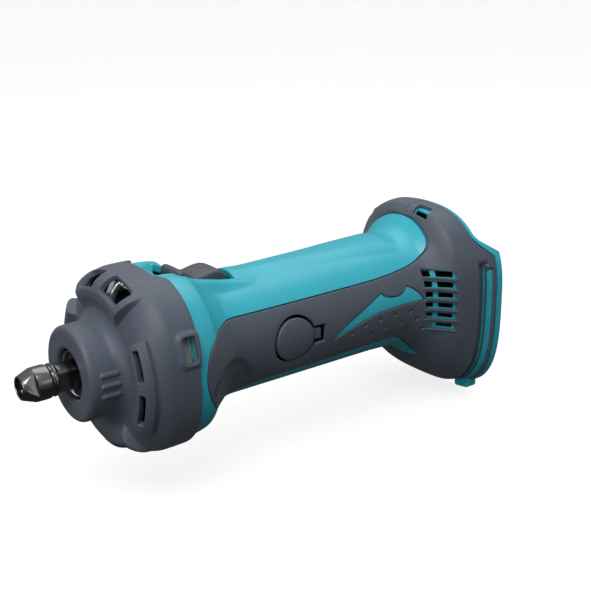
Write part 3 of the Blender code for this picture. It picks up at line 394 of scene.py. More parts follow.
def turned_mesh(name, outline, steps=96):
    """A ring turned about the X axis from an outline of (x, radius), which runs round its section."""
    x, r = np.asarray(outline, float).T
    n = len(x)
    angles = np.arange(steps) * 2 * math.pi / steps
    verts = np.concatenate([np.stack([x, -r * math.cos(a), r * math.sin(a)], 1) for a in angles])
    faces = []
    for k in range(steps):
        for i in range(n):
            j = (i + 1) % n
            faces.append((k * n + i, k * n + j, ((k + 1) % steps) * n + j, ((k + 1) % steps) * n + i))
    return cleaned(mesh_from(name, verts, faces), 0.0005, True)


# ---------------------------------------------------------------- materials

class Nodes:
    """A small helper that wires a procedural material."""

    def __init__(self, name):
        self.material = bpy.data.materials.new(name)
        self.material.use_nodes = True
        self.tree = self.material.node_tree
        self.shader = self.tree.nodes["Principled BSDF"]
        self.place = self.tree.nodes.new("ShaderNodeTexCoord").outputs["Object"]

    def link(self, a, b):
        self.tree.links.new(a, b)

    def noise(self, scale, detail=3.0, roughness=0.55, stretch=None):
        node = self.tree.nodes.new("ShaderNodeTexNoise")
        node.inputs["Scale"].default_value = scale
        node.inputs["Detail"].default_value = detail
        node.inputs["Roughness"].default_value = roughness
        place = self.place
        if stretch:
            mapping = self.tree.nodes.new("ShaderNodeMapping")
            mapping.inputs["Scale"].default_value = stretch
            self.link(place, mapping.inputs["Vector"])
            place = mapping.outputs["Vector"]
        self.link(place, node.inputs["Vector"])
        return node.outputs["Fac"]

    def ramp(self, value, low, high, start=0.3, end=0.7):
        node = self.tree.nodes.new("ShaderNodeMapRange")
        node.inputs["From Min"].default_value = start
        node.inputs["From Max"].default_value = end
        node.inputs["To Min"].default_value = low
        node.inputs["To Max"].default_value = high
        self.link(value, node.inputs["Value"])
        return node.outputs["Result"]

    def blend(self, share, a, b):
        node = self.tree.nodes.new("ShaderNodeMix")
        node.data_type = 'RGBA'
        colour_inputs = [s for s in node.inputs if s.type == 'RGBA']
        for socket, colour in zip(colour_inputs, (a, b)):
            if isinstance(colour, tuple):
                socket.default_value = (*colour, 1.0)
            else:
                self.link(colour, socket)
        factor = [s for s in node.inputs if s.type == 'VALUE'][0]
        self.link(share, factor)
        return [s for s in node.outputs if s.type == 'RGBA'][0]

    def bump(self, height, strength, distance, before=None):
        node = self.tree.nodes.new("ShaderNodeBump")
        node.inputs["Strength"].default_value = strength
        node.inputs["Distance"].default_value = distance
        self.link(height, node.inputs["Height"])
        if before:
            self.link(before, node.inputs["Normal"])
        return node.outputs["Normal"]


def cloudy(n, colour, amount, scale):
    """The base colour, drifting a little between darker and lighter."""
    cloud = n.ramp(n.noise(scale, 4.0), 0.0, 1.0)
    dark = tuple(c * (1 - amount) for c in colour)
    light = tuple(min(1.0, c * (1 + amount)) for c in colour)
    n.link(n.blend(cloud, dark, light), n.shader.inputs["Base Color"])


def moulded(name, colour, roughness, grain=0.3, mottle=0.06, sheen=0.0):
    """Moulded plastic or rubber: faint mottling, a fine texture and slightly uneven gloss."""
    n = Nodes(name)
    cloudy(n, colour, mottle, 45.0)
    n.link(n.ramp(n.noise(160.0, 4.0), roughness - 0.05, roughness + 0.05), n.shader.inputs["Roughness"])
    texture = n.bump(n.noise(2600.0, 2.0), grain, 0.00003)
    n.link(n.bump(n.noise(240.0, 2.0), 0.05, 0.0002, texture), n.shader.inputs["Normal"])
    n.shader.inputs["Sheen Weight"].default_value = sheen
    return n.material


def metal(name, colour, roughness, stretch=(1.0, 1.0, 1.0), scale=900.0, scratch=0.15, stain=0.12):
    """Worked metal: fine marks along one direction, with uneven brightness."""
    n = Nodes(name)
    marks = n.noise(scale, 4.0, 0.6, stretch)
    cloudy(n, colour, stain, 70.0)
    n.shader.inputs["Metallic"].default_value = 1.0
    n.link(n.ramp(marks, roughness - 0.06, roughness + 0.08), n.shader.inputs["Roughness"])
    n.link(n.bump(marks, scratch, 0.00003), n.shader.inputs["Normal"])
    return n.material


TURNED_MARKS = (6.0, 0.15, 0.15)
TEAL = moulded("teal_moulding", (0.022, 0.345, 0.43), 0.36, grain=0.18, mottle=0.03)
GREY = moulded("grey_soft_grip", (0.054, 0.067, 0.093), 0.52, grain=0.4, mottle=0.05, sheen=0.08)
KNOB = moulded("knob_plastic", (0.055, 0.060, 0.072), 0.42, grain=0.25)
DARK = moulded("dark_moulding", (0.018, 0.019, 0.021), 0.48, grain=0.3)
# painted shade: a grey-green that stands for the die-cast casting in shade behind the side windows
CASTING_SHADE = moulded("casting_shade_grey_green", (0.13, 0.16, 0.145), 0.5)
RUBBER = moulded("black_seal", (0.012, 0.012, 0.012), 0.75, grain=0.6)
ALUMINIUM = metal("die_cast_aluminium", (0.83, 0.84, 0.85), 0.30, scale=500.0, scratch=0.25)
STEEL = metal("ground_steel", (0.62, 0.62, 0.63), 0.24, TURNED_MARKS)
NUT_STEEL = metal("burnished_steel", (0.19, 0.18, 0.185), 0.20, TURNED_MARKS, stain=0.08)
IRON = metal("plated_iron", (0.50, 0.50, 0.51), 0.38, (60.0, 1.0, 1.0), scale=40.0)
COPPER = metal("enamelled_copper", (0.75, 0.33, 0.16), 0.30, (1.0, 30.0, 30.0), scale=60.0)
BRASS = metal("stamped_brass", (0.80, 0.60, 0.26), 0.28)
CARBON = moulded("pressed_carbon", (0.03, 0.03, 0.032), 0.55, grain=0.6)
FERRITE = moulded("sintered_ferrite", (0.06, 0.06, 0.065), 0.7, grain=0.8)
BOARD = moulded("solder_mask", (0.015, 0.12, 0.045), 0.35, mottle=0.2)
RED_WIRE = moulded("red_insulation", (0.50, 0.02, 0.015), 0.4, grain=0.05)
BLACK_WIRE = moulded("black_insulation", (0.015, 0.015, 0.016), 0.4, grain=0.05)


# ---------------------------------------------------------------- body surface

# x, half width, height above the axis, depth below it, squareness above, squareness below
BODY = np.array((
    (34.0, 38.3, 38.3, 38.3, 2.25, 2.25), (42.0, 39.0, 39.0, 39.0, 2.25, 2.25),
    (51.0, 38.0, 38.0, 38.0, 2.2, 2.2), (55.0, 35.6, 35.6, 35.6, 2.0, 2.0),
    (60.0, 32.0, 32.0, 32.0, 2.0, 2.0), (66.0, 28.6, 28.6, 28.6, 2.0, 2.0),
    (72.0, 27.8, 27.8, 27.8, 2.0, 2.0), (150.0, 28.0, 27.8, 27.8, 2.0, 2.0),
    (160.0, 28.0, 27.8, 28.0, 2.0, 2.05), (168.0, 28.2, 28.0, 28.3, 2.0, 2.1),
    (173.0, 28.9, 28.3, 29.6, 2.0, 2.2), (178.0, 30.4, 29.7, 33.0, 1.98, 2.3),
    (184.0, 33.8, 34.8, 39.5, 2.05, 2.5), (187.0, 36.0, 38.4, 42.8, 2.3, 2.65),
    (190.0, 37.6, 40.6, 46.0, 2.45, 2.8), (197.0, 39.2, 41.2, 51.0, 2.5, 3.0),
    (204.0, 40.2, 39.6, 54.5, 2.5, 3.2),
    (216.4, 40.5, 38.0, 57.0, 2.5, 3.3), (220.0, 40.5, 37.6, 57.6, 2.5, 3.3)))
SECTION = [through(BODY[:, 0], BODY[:, k]) for k in range(1, 6)]
DECK = through((34, 39.0, 47, 51, 56, 61, 66, 73, 80, 86, 92),
               (37.6, 38.5, 38.0, 36.2, 34.0, 32.4, 31.3, 29.7, 28.6, 28.0, 27.8))
# half widths of the raised spine along the top: where it starts to rise and where it is full
CREASE = through((70, 80, 90, 116, 142, 168, 178), (9.6, 9.0, 9.1, 10.2, 12.3, 15.5, 18.0))
CROWN = through((70, 80, 90, 121, 146, 170, 178), (3.0, 3.0, 3.2, 4.2, 7.0, 9.6, 11.0))
STATION_STEP = 0.5
STATIONS = np.arange(33.0, 219.0, STATION_STEP)
ANGLES = np.radians(np.linspace(-100.0, 100.0, 801))


def section(x, angle):
    """Half width and height of the skin: the plain sections, before anything is raised on them."""
    width, above, below, square_above, square_below = [f(x) for f in SECTION]
    cos, sin = np.cos(angle), np.sin(angle)
    power = 2 / np.where(sin >= 0, square_above, square_below)
    across = width * np.sign(cos) * np.abs(cos) ** power
    up = np.where(sin >= 0, above, below) * np.sign(sin) * np.abs(sin) ** power
    return across, up


def station_lengths():
    """Length along each station's section, from the side (0) to each angle."""
    rows = []
    side = len(ANGLES) // 2
    for x in STATIONS:
        across, up = section(np.full(len(ANGLES), x), ANGLES)
        run = np.concatenate([[0.0], np.cumsum(np.hypot(np.diff(across), np.diff(up)))])
        rows.append(run - run[side])
    return np.array(rows)


LENGTHS = station_lengths()


def angle_at(x, v):
    """The section angle of a point at a length v up the section."""
    place = np.clip((x - STATIONS[0]) / STATION_STEP, 0, len(STATIONS) - 1.001)
    row = place.astype(int)
    share = place - row
    found = np.zeros(len(x))
    for r in np.unique(row):
        pick = row == r
        low = np.interp(v[pick], LENGTHS[r], ANGLES)
        high = np.interp(v[pick], LENGTHS[r + 1], ANGLES)
        found[pick] = low + (high - low) * share[pick]
    return found


def length_at(x, angle):
    place = min(max((x - STATIONS[0]) / STATION_STEP, 0), len(STATIONS) - 1.001)
    row = int(place)
    share = place - row
    here, next_one = [np.interp(angle, ANGLES, LENGTHS[k]) for k in (row, row + 1)]
    return (1 - share) * here + share * next_one


def on_skin(x, y=None, z=None):
    """Sheet coordinates of a skin point, found from its height z or, near the top and bottom, from y.

    With both, the sign of z only says which half it lies in.
    """
    width, above, below, square_above, square_below = [float(f(x)) for f in SECTION]
    if y is None:
        height, square = (above, square_above) if z >= 0 else (below, square_below)
        sin = min(abs(z) / height, 1.0) ** (square / 2)
        angle = math.copysign(math.asin(sin), z)
    else:
        square = square_above if z >= 0 else square_below
        angle = math.copysign(math.acos(min(abs(y) / width, 1.0) ** (square / 2)), z)
    return (x, float(length_at(x, angle)))


SEAM_GAP = 0.07


def seam(x, top=True):
    """The sheet's edge beside the parting plane."""
    side = 1 if top else -1
    return (x, float(length_at(x, side * math.pi / 2)) - side * SEAM_GAP)


def shaped(x, v):
    """The skin with the switch deck and the spine raised on it."""
    angle = angle_at(x, v)
    across, up = section(x, angle)
    deck = (1 - ease(np.abs(across), 10.2, 13.6)) * (1 - ease(x, 84, 92)) * (up > 10)
    up = up + deck * (DECK(x) - 0.012 * across ** 2 - up)
    side = np.abs(across)
    crease, crown = CREASE(x), CROWN(x)
    spine = np.clip((crease - side) / (crease - crown), 0, 1) * ease(x, 72, 84) * (1 - ease(x, 164, 174))
    up = up + 1.5 * spine * (up > 10)
    return np.stack([x, -across, up], 1)


def body_surface(x, v, step=0.04):
    points = shaped(x, v)
    along = shaped(x + step, v) - shaped(x - step, v)
    around = shaped(x, v + step) - shaped(x, v - step)
    normal = np.cross(along, around)
    return points, normal / np.maximum(np.linalg.norm(normal, axis=1), 1e-12)[:, None]


# ---------------------------------------------------------------- lines on the skin

def flowing(points, steps=6):
    """A smooth line through points."""
    points = [np.asarray(p, float) for p in points]
    points = [2 * points[0] - points[1]] + points + [2 * points[-1] - points[-2]]
    line = []
    for a, b, c, d in zip(points, points[1:], points[2:], points[3:]):
        for t in np.arange(steps) / steps:
            line.append(0.5 * (2 * b + (c - a) * t + (2 * a - 5 * b + 4 * c - d) * t * t
                               + (3 * b - a - 3 * c + d) * t ** 3))
    return line + [points[-2]]


def side_line(points, step=1.0, closed=False):
    """A side view line, in x and z, laid on the skin."""
    return [on_skin(x, z=z) for x, z in resample(points, step, closed)]


def top_line(points, step=1.0):
    """A top view line, in x and distance from the middle, laid on the skin's upper half."""
    return [on_skin(x, y=y, z=1.0) for x, y in resample(points, step, False)]


def seam_line(start, end, top=True):
    count = int(abs(end - start)) + 1
    return [seam(start + (end - start) * i / count, top) for i in range(count + 1)]


def circle(x, z, radius, start=0.0, end=360.0, count=48):
    angles = [math.radians(start + (end - start) * i / count) for i in range(count + 1)]
    return [(x + radius * math.cos(a), z + radius * math.sin(a)) for a in angles]


def near_seam(away, radius):
    """An edge radius for an outline: small beside the parting plane."""
    def value(line):
        across, _ = section(line[:, 0], angle_at(line[:, 0], line[:, 1]))
        return np.where(across < away, 0.12, radius)
    return value


# ---------------------------------------------------------------- grip and housing outlines

BODY_FRONT, BODY_REAR = 39.8, 216.4
TONGUE_FRONT, TONGUE_HALF = 37.2, 12.4
WELL_START, WELL_FRONT, WELL_REAR, WELL_HALF = 38.6, 46.0, 79.5, 8.3
GROOVE = (201.0, 206.3)
STRIP = (206.3, 210.4)
RIDGE_REAR = 212.6
STRIP_TOP = 12.5
HUMP_EDGE, HUMP_END = 201.5, 204.0

PANEL_FRONT = flowing([(72.0, 15.9), (66.4, 16.2), (59.1, 16.1), (52.4, 15.2), (46.9, 9.2), (44.7, 1.1),
                       (45.0, -6.0), (48.0, -13.7), (53.0, -19.5), (60.0, -22.0), (68.0, -21.3),
                       (78.0, -19.4), (92.0, -18.5), (110.0, -18.3), (130.0, -17.7), (148.7, -17.1),
                       (161.8, -17.3), (167.6, -20.1), (173.8, -25.2), (178.0, -29.3), (181.4, -33.0)])
LEAF_BELOW = flowing([(181.4, -33.6), (178.0, -33.3), (172.3, -29.0), (168.6, -26.5)])
REAR_EDGE = rounded([(RIDGE_REAR, -40.0), (RIDGE_REAR, 17.8), (204.6, 24.6), (HUMP_EDGE, 28.5),
                     (HUMP_EDGE, 34.0)], [0, 2.2, 6.0, 3.0, 0])
TONGUE_TOP = flowing([(185.3, 0.1), (185.2, 4.5), (185.0, 9.5), (184.5, 14.6), (184.0, 18.3)])
TONGUE_SIDE = flowing([(183.9, 29.2), (183.1, 26.6), (180.6, 22.9), (175.8, 19.8), (170.1, 17.9),
                       (163.0, 16.9), (150.8, 16.0), (130.0, 15.8), (100.0, 15.8), (72.0, 15.9)])
SWOOSH = (flowing([(118.2, -7.0), (127.0, -1.0), (135.3, 3.2), (143.0, 6.8), (149.8, 9.8)])
          + flowing([(149.8, 9.8), (151.3, 8.2), (153.5, 7.3), (156.9, 6.5), (160.8, 6.6), (163.3, 7.8),
                     (165.8, 9.9)])[1:]
          + flowing([(165.8, 9.9), (169.2, 7.9), (172.4, 5.0), (174.6, 1.4)])[1:]
          + flowing([(174.6, 1.4), (166.4, 1.2), (158.7, 1.2), (149.0, 0.8), (141.2, -0.3), (129.3, -3.6),
                     (118.2, -7.0)])[1:-1])

BRUSH = (98.6, -0.8)
BRUSH_HOLE, BRUSH_DISC = 11.6, 10.35
BRUSH_NOTCH = (115.2, -5.6, 3.4)


def brush_opening(grow=0.0):
    """The round opening over a brush, with the notch behind it."""
    radius = BRUSH_HOLE + grow
    rear, low, high = BRUSH_NOTCH[0] + grow, BRUSH_NOTCH[1] - grow, BRUSH_NOTCH[2] + grow
    start = math.degrees(math.asin((high - BRUSH[1]) / radius))
    end = 360 + math.degrees(math.asin((low - BRUSH[1]) / radius))
    return circle(*BRUSH, radius, start, end) + [(rear, low), (rear, high)]


# vents: the middle of each row at x = 174, falling to the rear, and the row's ends
VENT_ROWS = [(14.3 - 5.3 * i, (178.0 if i == 5 else 175.4), 188.6) for i in range(6)]
VENT_FALL = -0.13
VENT_HALF, OPENING_HALF = 1.75, 1.45


def vent_z(middle, x):
    return middle + VENT_FALL * (x - 174.0)


def vent_loop(middle, x0, x1, half, radius):
    points = [(x0, vent_z(middle, x0) - half), (x1, vent_z(middle, x1) - half),
              (x1, vent_z(middle, x1) + half), (x0, vent_z(middle, x0) + half)]
    return rounded(points, radius, 3)


def vent_openings():
    """The openings in the housing behind each row: a front one, but for the last row, and a rear one."""
    loops = []
    for i, (middle, _, _) in enumerate(VENT_ROWS):
        if i < 5:
            loops.append(vent_loop(middle, 176.0 if i < 4 else 176.6, 179.4, OPENING_HALF, 0.3))
        loops.append(vent_loop(middle, 181.4, 187.4, OPENING_HALF, 0.3))
    return loops


BUMPS = ((125.1, -11.1), (131.0, -6.0), (135.4, -11.8), (139.0, -3.8), (143.7, -9.4), (148.0, -2.8),
         (152.4, -8.3), (156.9, -13.1), (157.1, -2.4), (162.1, -8.0), (166.6, -13.2), (166.9, -3.0),
         (171.2, -8.2), (175.6, -14.2))
SLOT = [(186.6, 5.7), (192.6, 5.0), (194.2, 12.4), (187.2, 15.0)]
STRIP_HOLES = ((208.3, 4.1), (208.3, -9.3), (208.4, -22.7), (208.6, -36.5))
SCREW_SINKS = ((125.0, -19.0), (160.0, 18.5), (160.0, -18.5), (192.0, 30.0), (196.0, -43.0))
SINK_RADIUS = 3.5


def grip_outline():
    line = side_line(PANEL_FRONT)
    line += side_line(LEAF_BELOW)
    line += [seam(168.0, False)] + seam_line(168.5, STRIP[0], False)
    line += side_line(rounded([(STRIP[0], -50.0), (STRIP[0], STRIP_TOP), (STRIP[1], STRIP_TOP),
                               (STRIP[1], -50.0)], [0, 1.2, 1.2, 0]))
    line += [seam(STRIP[1], False), seam(RIDGE_REAR, False)]
    line += side_line(REAR_EDGE)
    line += seam_line(HUMP_EDGE, 185.3)
    line += top_line(TONGUE_TOP)[1:]
    line += side_line(TONGUE_SIDE)[1:-1]
    return line


def housing_outline():
    line = seam_line(BODY_FRONT, BODY_REAR, False)
    line += side_line(rounded([(BODY_REAR, -30.0), (BODY_REAR, 19.6), (206.0, 26.4), (HUMP_END, 29.0),
                               (HUMP_END, 36.0)], [0, 0.8, 3.0, 2.0, 0]))
    line += seam_line(HUMP_END, WELL_REAR)
    line += top_line([(WELL_REAR, 1.0), (WELL_REAR, WELL_HALF)] + [(WELL_FRONT + 4.0, WELL_HALF)]
                     + circle(WELL_FRONT + 4.0, WELL_HALF - 4.0, 4.0, 90, 180, 8)[1:] + [(WELL_FRONT, 1.0)])
    line += seam_line(WELL_FRONT, TONGUE_FRONT)
    line += top_line([(TONGUE_FRONT, 1.0)] + circle(TONGUE_FRONT + 3.6, TONGUE_HALF - 3.6, 3.6, 180, 90, 8)
                     + [(BODY_FRONT, TONGUE_HALF)])
    return line


def clean(line):
    """Drop points that fall on the one before."""
    kept = [np.asarray(line[0], float)]
    for p in line[1:]:
        if np.linalg.norm(np.asarray(p, float) - kept[-1]) > 0.02:
            kept.append(np.asarray(p, float))
    if np.linalg.norm(kept[-1] - kept[0]) < 0.02:
        kept.pop()
    return kept


def oriented(line, hole):
    line = resample(clean(line), 0.5)
    return line[::-1] if (signed_area(line) > 0) == hole else line


GRIP_LOOP = oriented(grip_outline(), False)
SWOOSH_LOOP = oriented(side_line(SWOOSH, closed=True), True)
GRIP_LOOPS = [GRIP_LOOP, SWOOSH_LOOP]
GRIP_EDGE = Edge(GRIP_LOOPS, [0.0] * len(GRIP_LOOPS))
GRIP_DEPTH = 1.5
CLEARANCE = 0.3
GROOVE_DEPTH, DIP_DEPTH = 3.0, 5.2
WALL = 2.8                    # the housing's thickness
WELL_DEPTH, WELL_SLOPE = 5.0, 1.6


def groove_depth(x, z):
    """The deep groove in front of the battery seat's strip, and the fall into it."""
    start, end = GROOVE
    fade = 1 - ease(z, 13.5, 17.5)
    return GROOVE_DEPTH * ease(x, start, start + 1.5) * (1 - ease(x, end - 0.05, end)) * fade


def blob(x, z, at, radius, depth):
    """A round dimple with a soft rim."""
    distance = np.hypot(x - at[0], z - at[1])
    return -depth * (1 - ease(distance, 0.25 * radius, radius))


def grip_depth(x, v, base):
    return GRIP_DEPTH + groove_depth(x, base[:, 2])


def grip_lift(x, v, base):
    z = base[:, 2]
    lift = -groove_depth(x, z)
    for at in BUMPS:
        lift = lift + blob(x, z, at, 1.3, 0.8)
    for middle, x0, x1 in VENT_ROWS:
        below = vent_z(middle, x) - VENT_HALF - z
        along = ease(x, x0 - 0.8, x0) * (1 - ease(x, x1, x1 + 0.8))
        lift = lift + 0.45 * along * ease(below, -0.1, 0.25) * (1 - ease(below, 0.7, 1.3))
    dent_x, dent_z = (x - 61.5) / 14.5, (z + 12.5) / 13.0
    reach = np.sqrt(dent_x ** 2 + dent_z ** 2)
    lift = lift - 1.3 * (1 - ease(reach, 0.80, 1.0)) * (1 - ease(-z, 12.0, 21.0))
    ring = np.hypot(x - BRUSH[0], z - BRUSH[1])
    lift = lift - 0.35 * (1 - ease(ring, BRUSH_HOLE + 0.2, BRUSH_HOLE + 2.6))
    return lift


def groove_dip(x, z):
    """How far the housing falls away under the grip's groove."""
    start, end = GROOVE
    fade = 1 - ease(z, 15.0, 19.0)
    return DIP_DEPTH * ease(x, start - 2.4, start - 0.8) * (1 - ease(x, end - 0.3, end)) * fade


def well_trough(x, base):
    """The sloped hollow in front of the switch knob."""
    side = 1 - ease(np.abs(base[:, 1]), WELL_HALF - WELL_SLOPE, WELL_HALF)
    return WELL_DEPTH * side * ease(x, WELL_START, WELL_FRONT + 0.5) * (base[:, 2] > 20)


def housing_depth(x, v, base):
    return WALL + groove_dip(x, base[:, 2]) + well_trough(x, base) * (x < WELL_FRONT + 6.0)


def housing_lift(x, v, base):
    z = base[:, 2]
    inside, _ = GRIP_EDGE.measure(np.stack([x, v], 1))
    under = ease(inside, -CLEARANCE - 0.06, -CLEARANCE + 0.06)
    lift = -(GRIP_DEPTH + CLEARANCE) * under
    lift = lift - groove_dip(x, z) * under
    strip = ease(x, STRIP[0] - 0.6, STRIP[0] - 0.3) * (1 - ease(x, STRIP[1] + 0.2, STRIP[1] + 0.5))
    strip = (1 - under) * strip * (1 - ease(z, STRIP_TOP - 0.3, STRIP_TOP))
    lift = lift - 0.7 * strip
    for at in STRIP_HOLES:
        lift = lift + blob(x, z, at, 0.75, 0.6)
    lift = lift - well_trough(x, base) * (1 - ease(x, WELL_REAR - 30, WELL_REAR - 28))
    inside_swoosh = (x > 116) & (x < 176) & (z > -10) & (z < 12)
    return lift - 0.35 * inside_swoosh * (1 - under)


def fine_spots(places, reach, step=0.22):
    """Extra vertices around small features, from their side view places."""
    dots = []
    for x, z in places:
        for dx in np.arange(-reach, reach + 1e-6, step):
            for dz in np.arange(-reach, reach + 1e-6, step):
                if dx * dx + dz * dz < reach * reach:
                    dots.append(on_skin(x + dx, z=z + dz))
    return dots


# ---------------------------------------------------------------- housing and grip pieces

def build_housing(label, side):
    """A half of the teal shell, with its screw holes on the right and the slot above on the left."""
    holes = [(side_line(loop, closed=True), 0.15) for loop in vent_openings()]
    holes.append((side_line(brush_opening(0.9), closed=True), 0.1))
    if side < 0:
        holes += [(side_line(circle(x, z, SINK_RADIUS), closed=True)[:-1], 0.25) for x, z in SCREW_SINKS]
    else:
        holes.append((top_line([SLOT[0], (190.6, 5.4), (191.0, 13.8), SLOT[3], SLOT[0]])[:-1], 0.1))
    lines = [(loop, True, (-0.38, -0.24, -0.7)) for loop in GRIP_LOOPS]
    for x in (WELL_START, 41.0, 43.5):
        lines.append(row(top_line([(x, 0.6), (x, 8.0)])))
    for value in (WELL_HALF - WELL_SLOPE, WELL_HALF):
        lines.append(row(top_line([(WELL_START, value), (WELL_FRONT, value)])))
    for value in (10.2, 10.8, 11.9, 13.0, 13.6):
        lines.append(row(top_line([(43.0, value), (88.0, value)])))
    crease = [(x, float(CREASE(x))) for x in np.arange(74.0, 174.0, 1.0)]
    crown = [(x, float(CROWN(x))) for x in np.arange(84.0, 174.0, 1.0)]
    lines.append((top_line(crease), False, (-0.35, 0.0, 0.35)))
    lines.append((top_line(crown), False, (-0.35, 0.0, 0.35)))
    for x in (198.6, 199.4, 200.2, GROOVE[1] - 0.3, GROOVE[1] - 0.05):
        lines.append(row(side_line([(x, -50.0), (x, 19.0)])))
    dots = fine_spots(STRIP_HOLES, 1.0)
    skin = sheet((housing_outline(), near_seam(1.0, 0.35)), holes, body_surface, 1.1, housing_depth,
                 lift=housing_lift, lines=lines, dots=dots, edge_step=0.55)
    mesh = sheet_mesh("housing_skin_" + label, [skin], side)
    return piece("housing_shell_" + label, mesh, "housing", TEAL, ["housing_" + label])


def build_grip(label, side):
    """The soft grip over a half: the side panel and the boot of the flare in one."""
    holes = [(SWOOSH_LOOP, 0.5), (side_line(brush_opening(), closed=True), 0.3)]
    holes += [(side_line(vent_loop(middle, x0, x1, VENT_HALF, 0.5), closed=True), 0.25)
              for middle, x0, x1 in VENT_ROWS]
    if side < 0:
        holes += [(side_line(circle(x, z, SINK_RADIUS), closed=True)[:-1], 0.3) for x, z in SCREW_SINKS
                  if (x, z) not in SCREW_SINKS[:3] or abs(z) < 15]
    else:
        holes.append((top_line(SLOT + SLOT[:1])[:-1], 0.3))
    lines = []
    for x in (GROOVE[0], GROOVE[0] + 0.5, GROOVE[0] + 1.0, GROOVE[0] + 1.5, GROOVE[1] - 0.1):
        lines.append(row(side_line([(x, -50.0), (x, 17.0)])))
    for middle, x0, x1 in VENT_ROWS:
        for below in (0.05, 0.45, 0.85, 1.25):
            z = vent_z(middle, 0.5 * (x0 + x1)) - VENT_HALF - below
            tilt = VENT_FALL * (x1 - x0) / 2
            lines.append(row(side_line([(x0, z - tilt), (x1, z + tilt)])))
    dots = fine_spots(BUMPS, 1.5)
    skin = sheet((GRIP_LOOP, near_seam(3.0, 0.9)), holes, body_surface, 1.1, grip_depth,
                 lift=grip_lift, lines=lines, dots=dots, edge_step=0.5)
    mesh = sheet_mesh("grip_skin_" + label, [skin], side)
    return piece("grip_" + label + "_skin", mesh, "housing", GREY, ["grip_" + label])


def disc_lift(x, v, base):
    """The disc over a brush: just below the grip at its rim, domed in the middle."""
    distance = np.hypot(x - BRUSH[0], base[:, 2] - BRUSH[1])
    return -0.1 + 0.5 * (1 - (distance / BRUSH_DISC) ** 2)


def tab_lift(x, v, base):
    return np.full(len(x), -1.1)


def build_brush_cover(label, side):
    """The round cover over a brush, and the catch in the notch behind it."""
    disc_loop = side_line(circle(*BRUSH, BRUSH_DISC)[:-1], closed=True)
    disc = sheet((disc_loop, 0.9), [], body_surface, 0.9, 2.4, lift=disc_lift, edge_step=0.5)
    tab_loop = side_line(box_loop(109.6, 113.2, -3.6, 1.8, 0.6), closed=True)
    tab = sheet((tab_loop, 0.3), [], body_surface, 0.8, 2.6, lift=tab_lift, edge_step=0.4)
    mesh = sheet_mesh("brush_cover_skin_" + label, [disc, tab], side)
    return piece("brush_cover_" + label + "_disc", mesh, "housing", GREY,
                 ["brush_cover_" + label])


for label, side in SIDES:
    build_housing(label, side)
    build_grip(label, side)
    build_brush_cover(label, side)


# ---------------------------------------------------------------- head

HEAD_SCALE = 34.0            # sheet length of one radian around the head
FRAME_SCALE = 36.0           # radius that turns an angle into a distance across a window frame
COVER_PROFILE = flowing([(41.0, 40.2), (40.0, 40.4), (36.0, 40.5), (30.0, 40.5), (26.0, 40.0), (22.5, 38.4),
                         (19.6, 35.0), (17.6, 30.0), (16.6, 26.0), (15.0, 23.2), (13.0, 21.7), (11.0, 21.2),
                         (6.0, 21.1), (2.2, 21.1), (0.7, 20.6), (0.0, 19.3), (0.0, 15.0), (0.0, 12.6),
                         (0.4, 11.7), (1.3, 11.4), (2.4, 11.4)], 10)
BOX_PROFILE = flowing([(39.8, 37.5), (28.0, 37.4), (24.6, 36.1), (22.1, 33.3), (19.9, 29.0), (18.0, 23.0),
                       (15.2, 18.6), (13.0, 18.2), (2.6, 18.2)], 10)


class Turned:
    """A sheet surface turned about the axis: first coordinate along the profile, second around it."""

    def __init__(self, profile):
        line = resample(profile, 0.1, False)
        self.x, self.r = line[:, 0], line[:, 1]
        self.run = np.concatenate([[0.0], np.cumsum(np.hypot(np.diff(self.x), np.diff(self.r)))])
        self.dx, self.dr = np.gradient(self.x, self.run), np.gradient(self.r, self.run)

    def along(self, x, r):
        """The profile's running length nearest to a point."""
        return float(self.run[np.argmin((self.x - x) ** 2 + (self.r - r) ** 2)])

    def place(self, u):
        return np.interp(u, self.run, self.x), np.interp(u, self.run, self.r)

    def __call__(self, u, v):
        x, r = self.place(u)
        nx, nr = np.interp(u, self.run, self.dr), -np.interp(u, self.run, self.dx)
        size = np.hypot(nx, nr)
        cos, sin = np.cos(v / HEAD_SCALE), np.sin(v / HEAD_SCALE)
        normal = np.stack([nx / size, -nr / size * cos, nr / size * sin], 1)
        return np.stack([x, -r * cos, r * sin], 1), normal


COVER = Turned(COVER_PROFILE)
BOX = Turned(BOX_PROFILE)
SEAM = (-0.75 * math.pi * HEAD_SCALE, 1.25 * math.pi * HEAD_SCALE)

# how high a window frame stands, along the profile from the rear: (x, radius, height)
WIDE_FRAME = [(26.4, 40.1, 0.0), (24.6, 39.5, 0.9), (22.5, 38.4, 2.0), (21.0, 36.9, 3.0), (19.6, 35.0, 3.9),
              (18.4, 32.3, 4.3), (17.6, 30.0, 3.2), (17.0, 28.0, 1.2), (16.5, 25.8, 0.0)]
SIDE_FRAME = [(22.4, 38.4, 0.0), (21.6, 37.7, 0.3), (21.2, 37.2, 2.6), (20.4, 36.1, 3.5), (19.6, 35.0, 3.9),
              (18.4, 32.3, 4.3), (17.7, 30.4, 3.4), (17.3, 29.0, 0.6), (17.0, 28.0, 0.0)]


def frame_curve(rows):
    runs = [COVER.along(x, r) for x, r, _ in rows]
    return lambda u: np.interp(u, runs, [row[2] for row in rows], left=0.0, right=0.0)


WIDE, SIDE = frame_curve(WIDE_FRAME), frame_curve(SIDE_FRAME)
FRAME_HALF = (19.0, 20.1)
QUARTERS = (-1, 0, 1, 2)      # bottom, near side, top, far side
RIB_X = (5.6, 12.2)
RIB_HEIGHTS = (4.7, 0.0, -4.7)


def quarter_of(v):
    """Which quarter a point is in (0 near, 1 top, 2 far, 3 bottom) and its distance across the frame."""
    angle = v / HEAD_SCALE
    quarter = np.round(angle / (math.pi / 2))
    across = FRAME_SCALE * np.sin(angle - quarter * math.pi / 2)
    return np.mod(quarter, 4), across


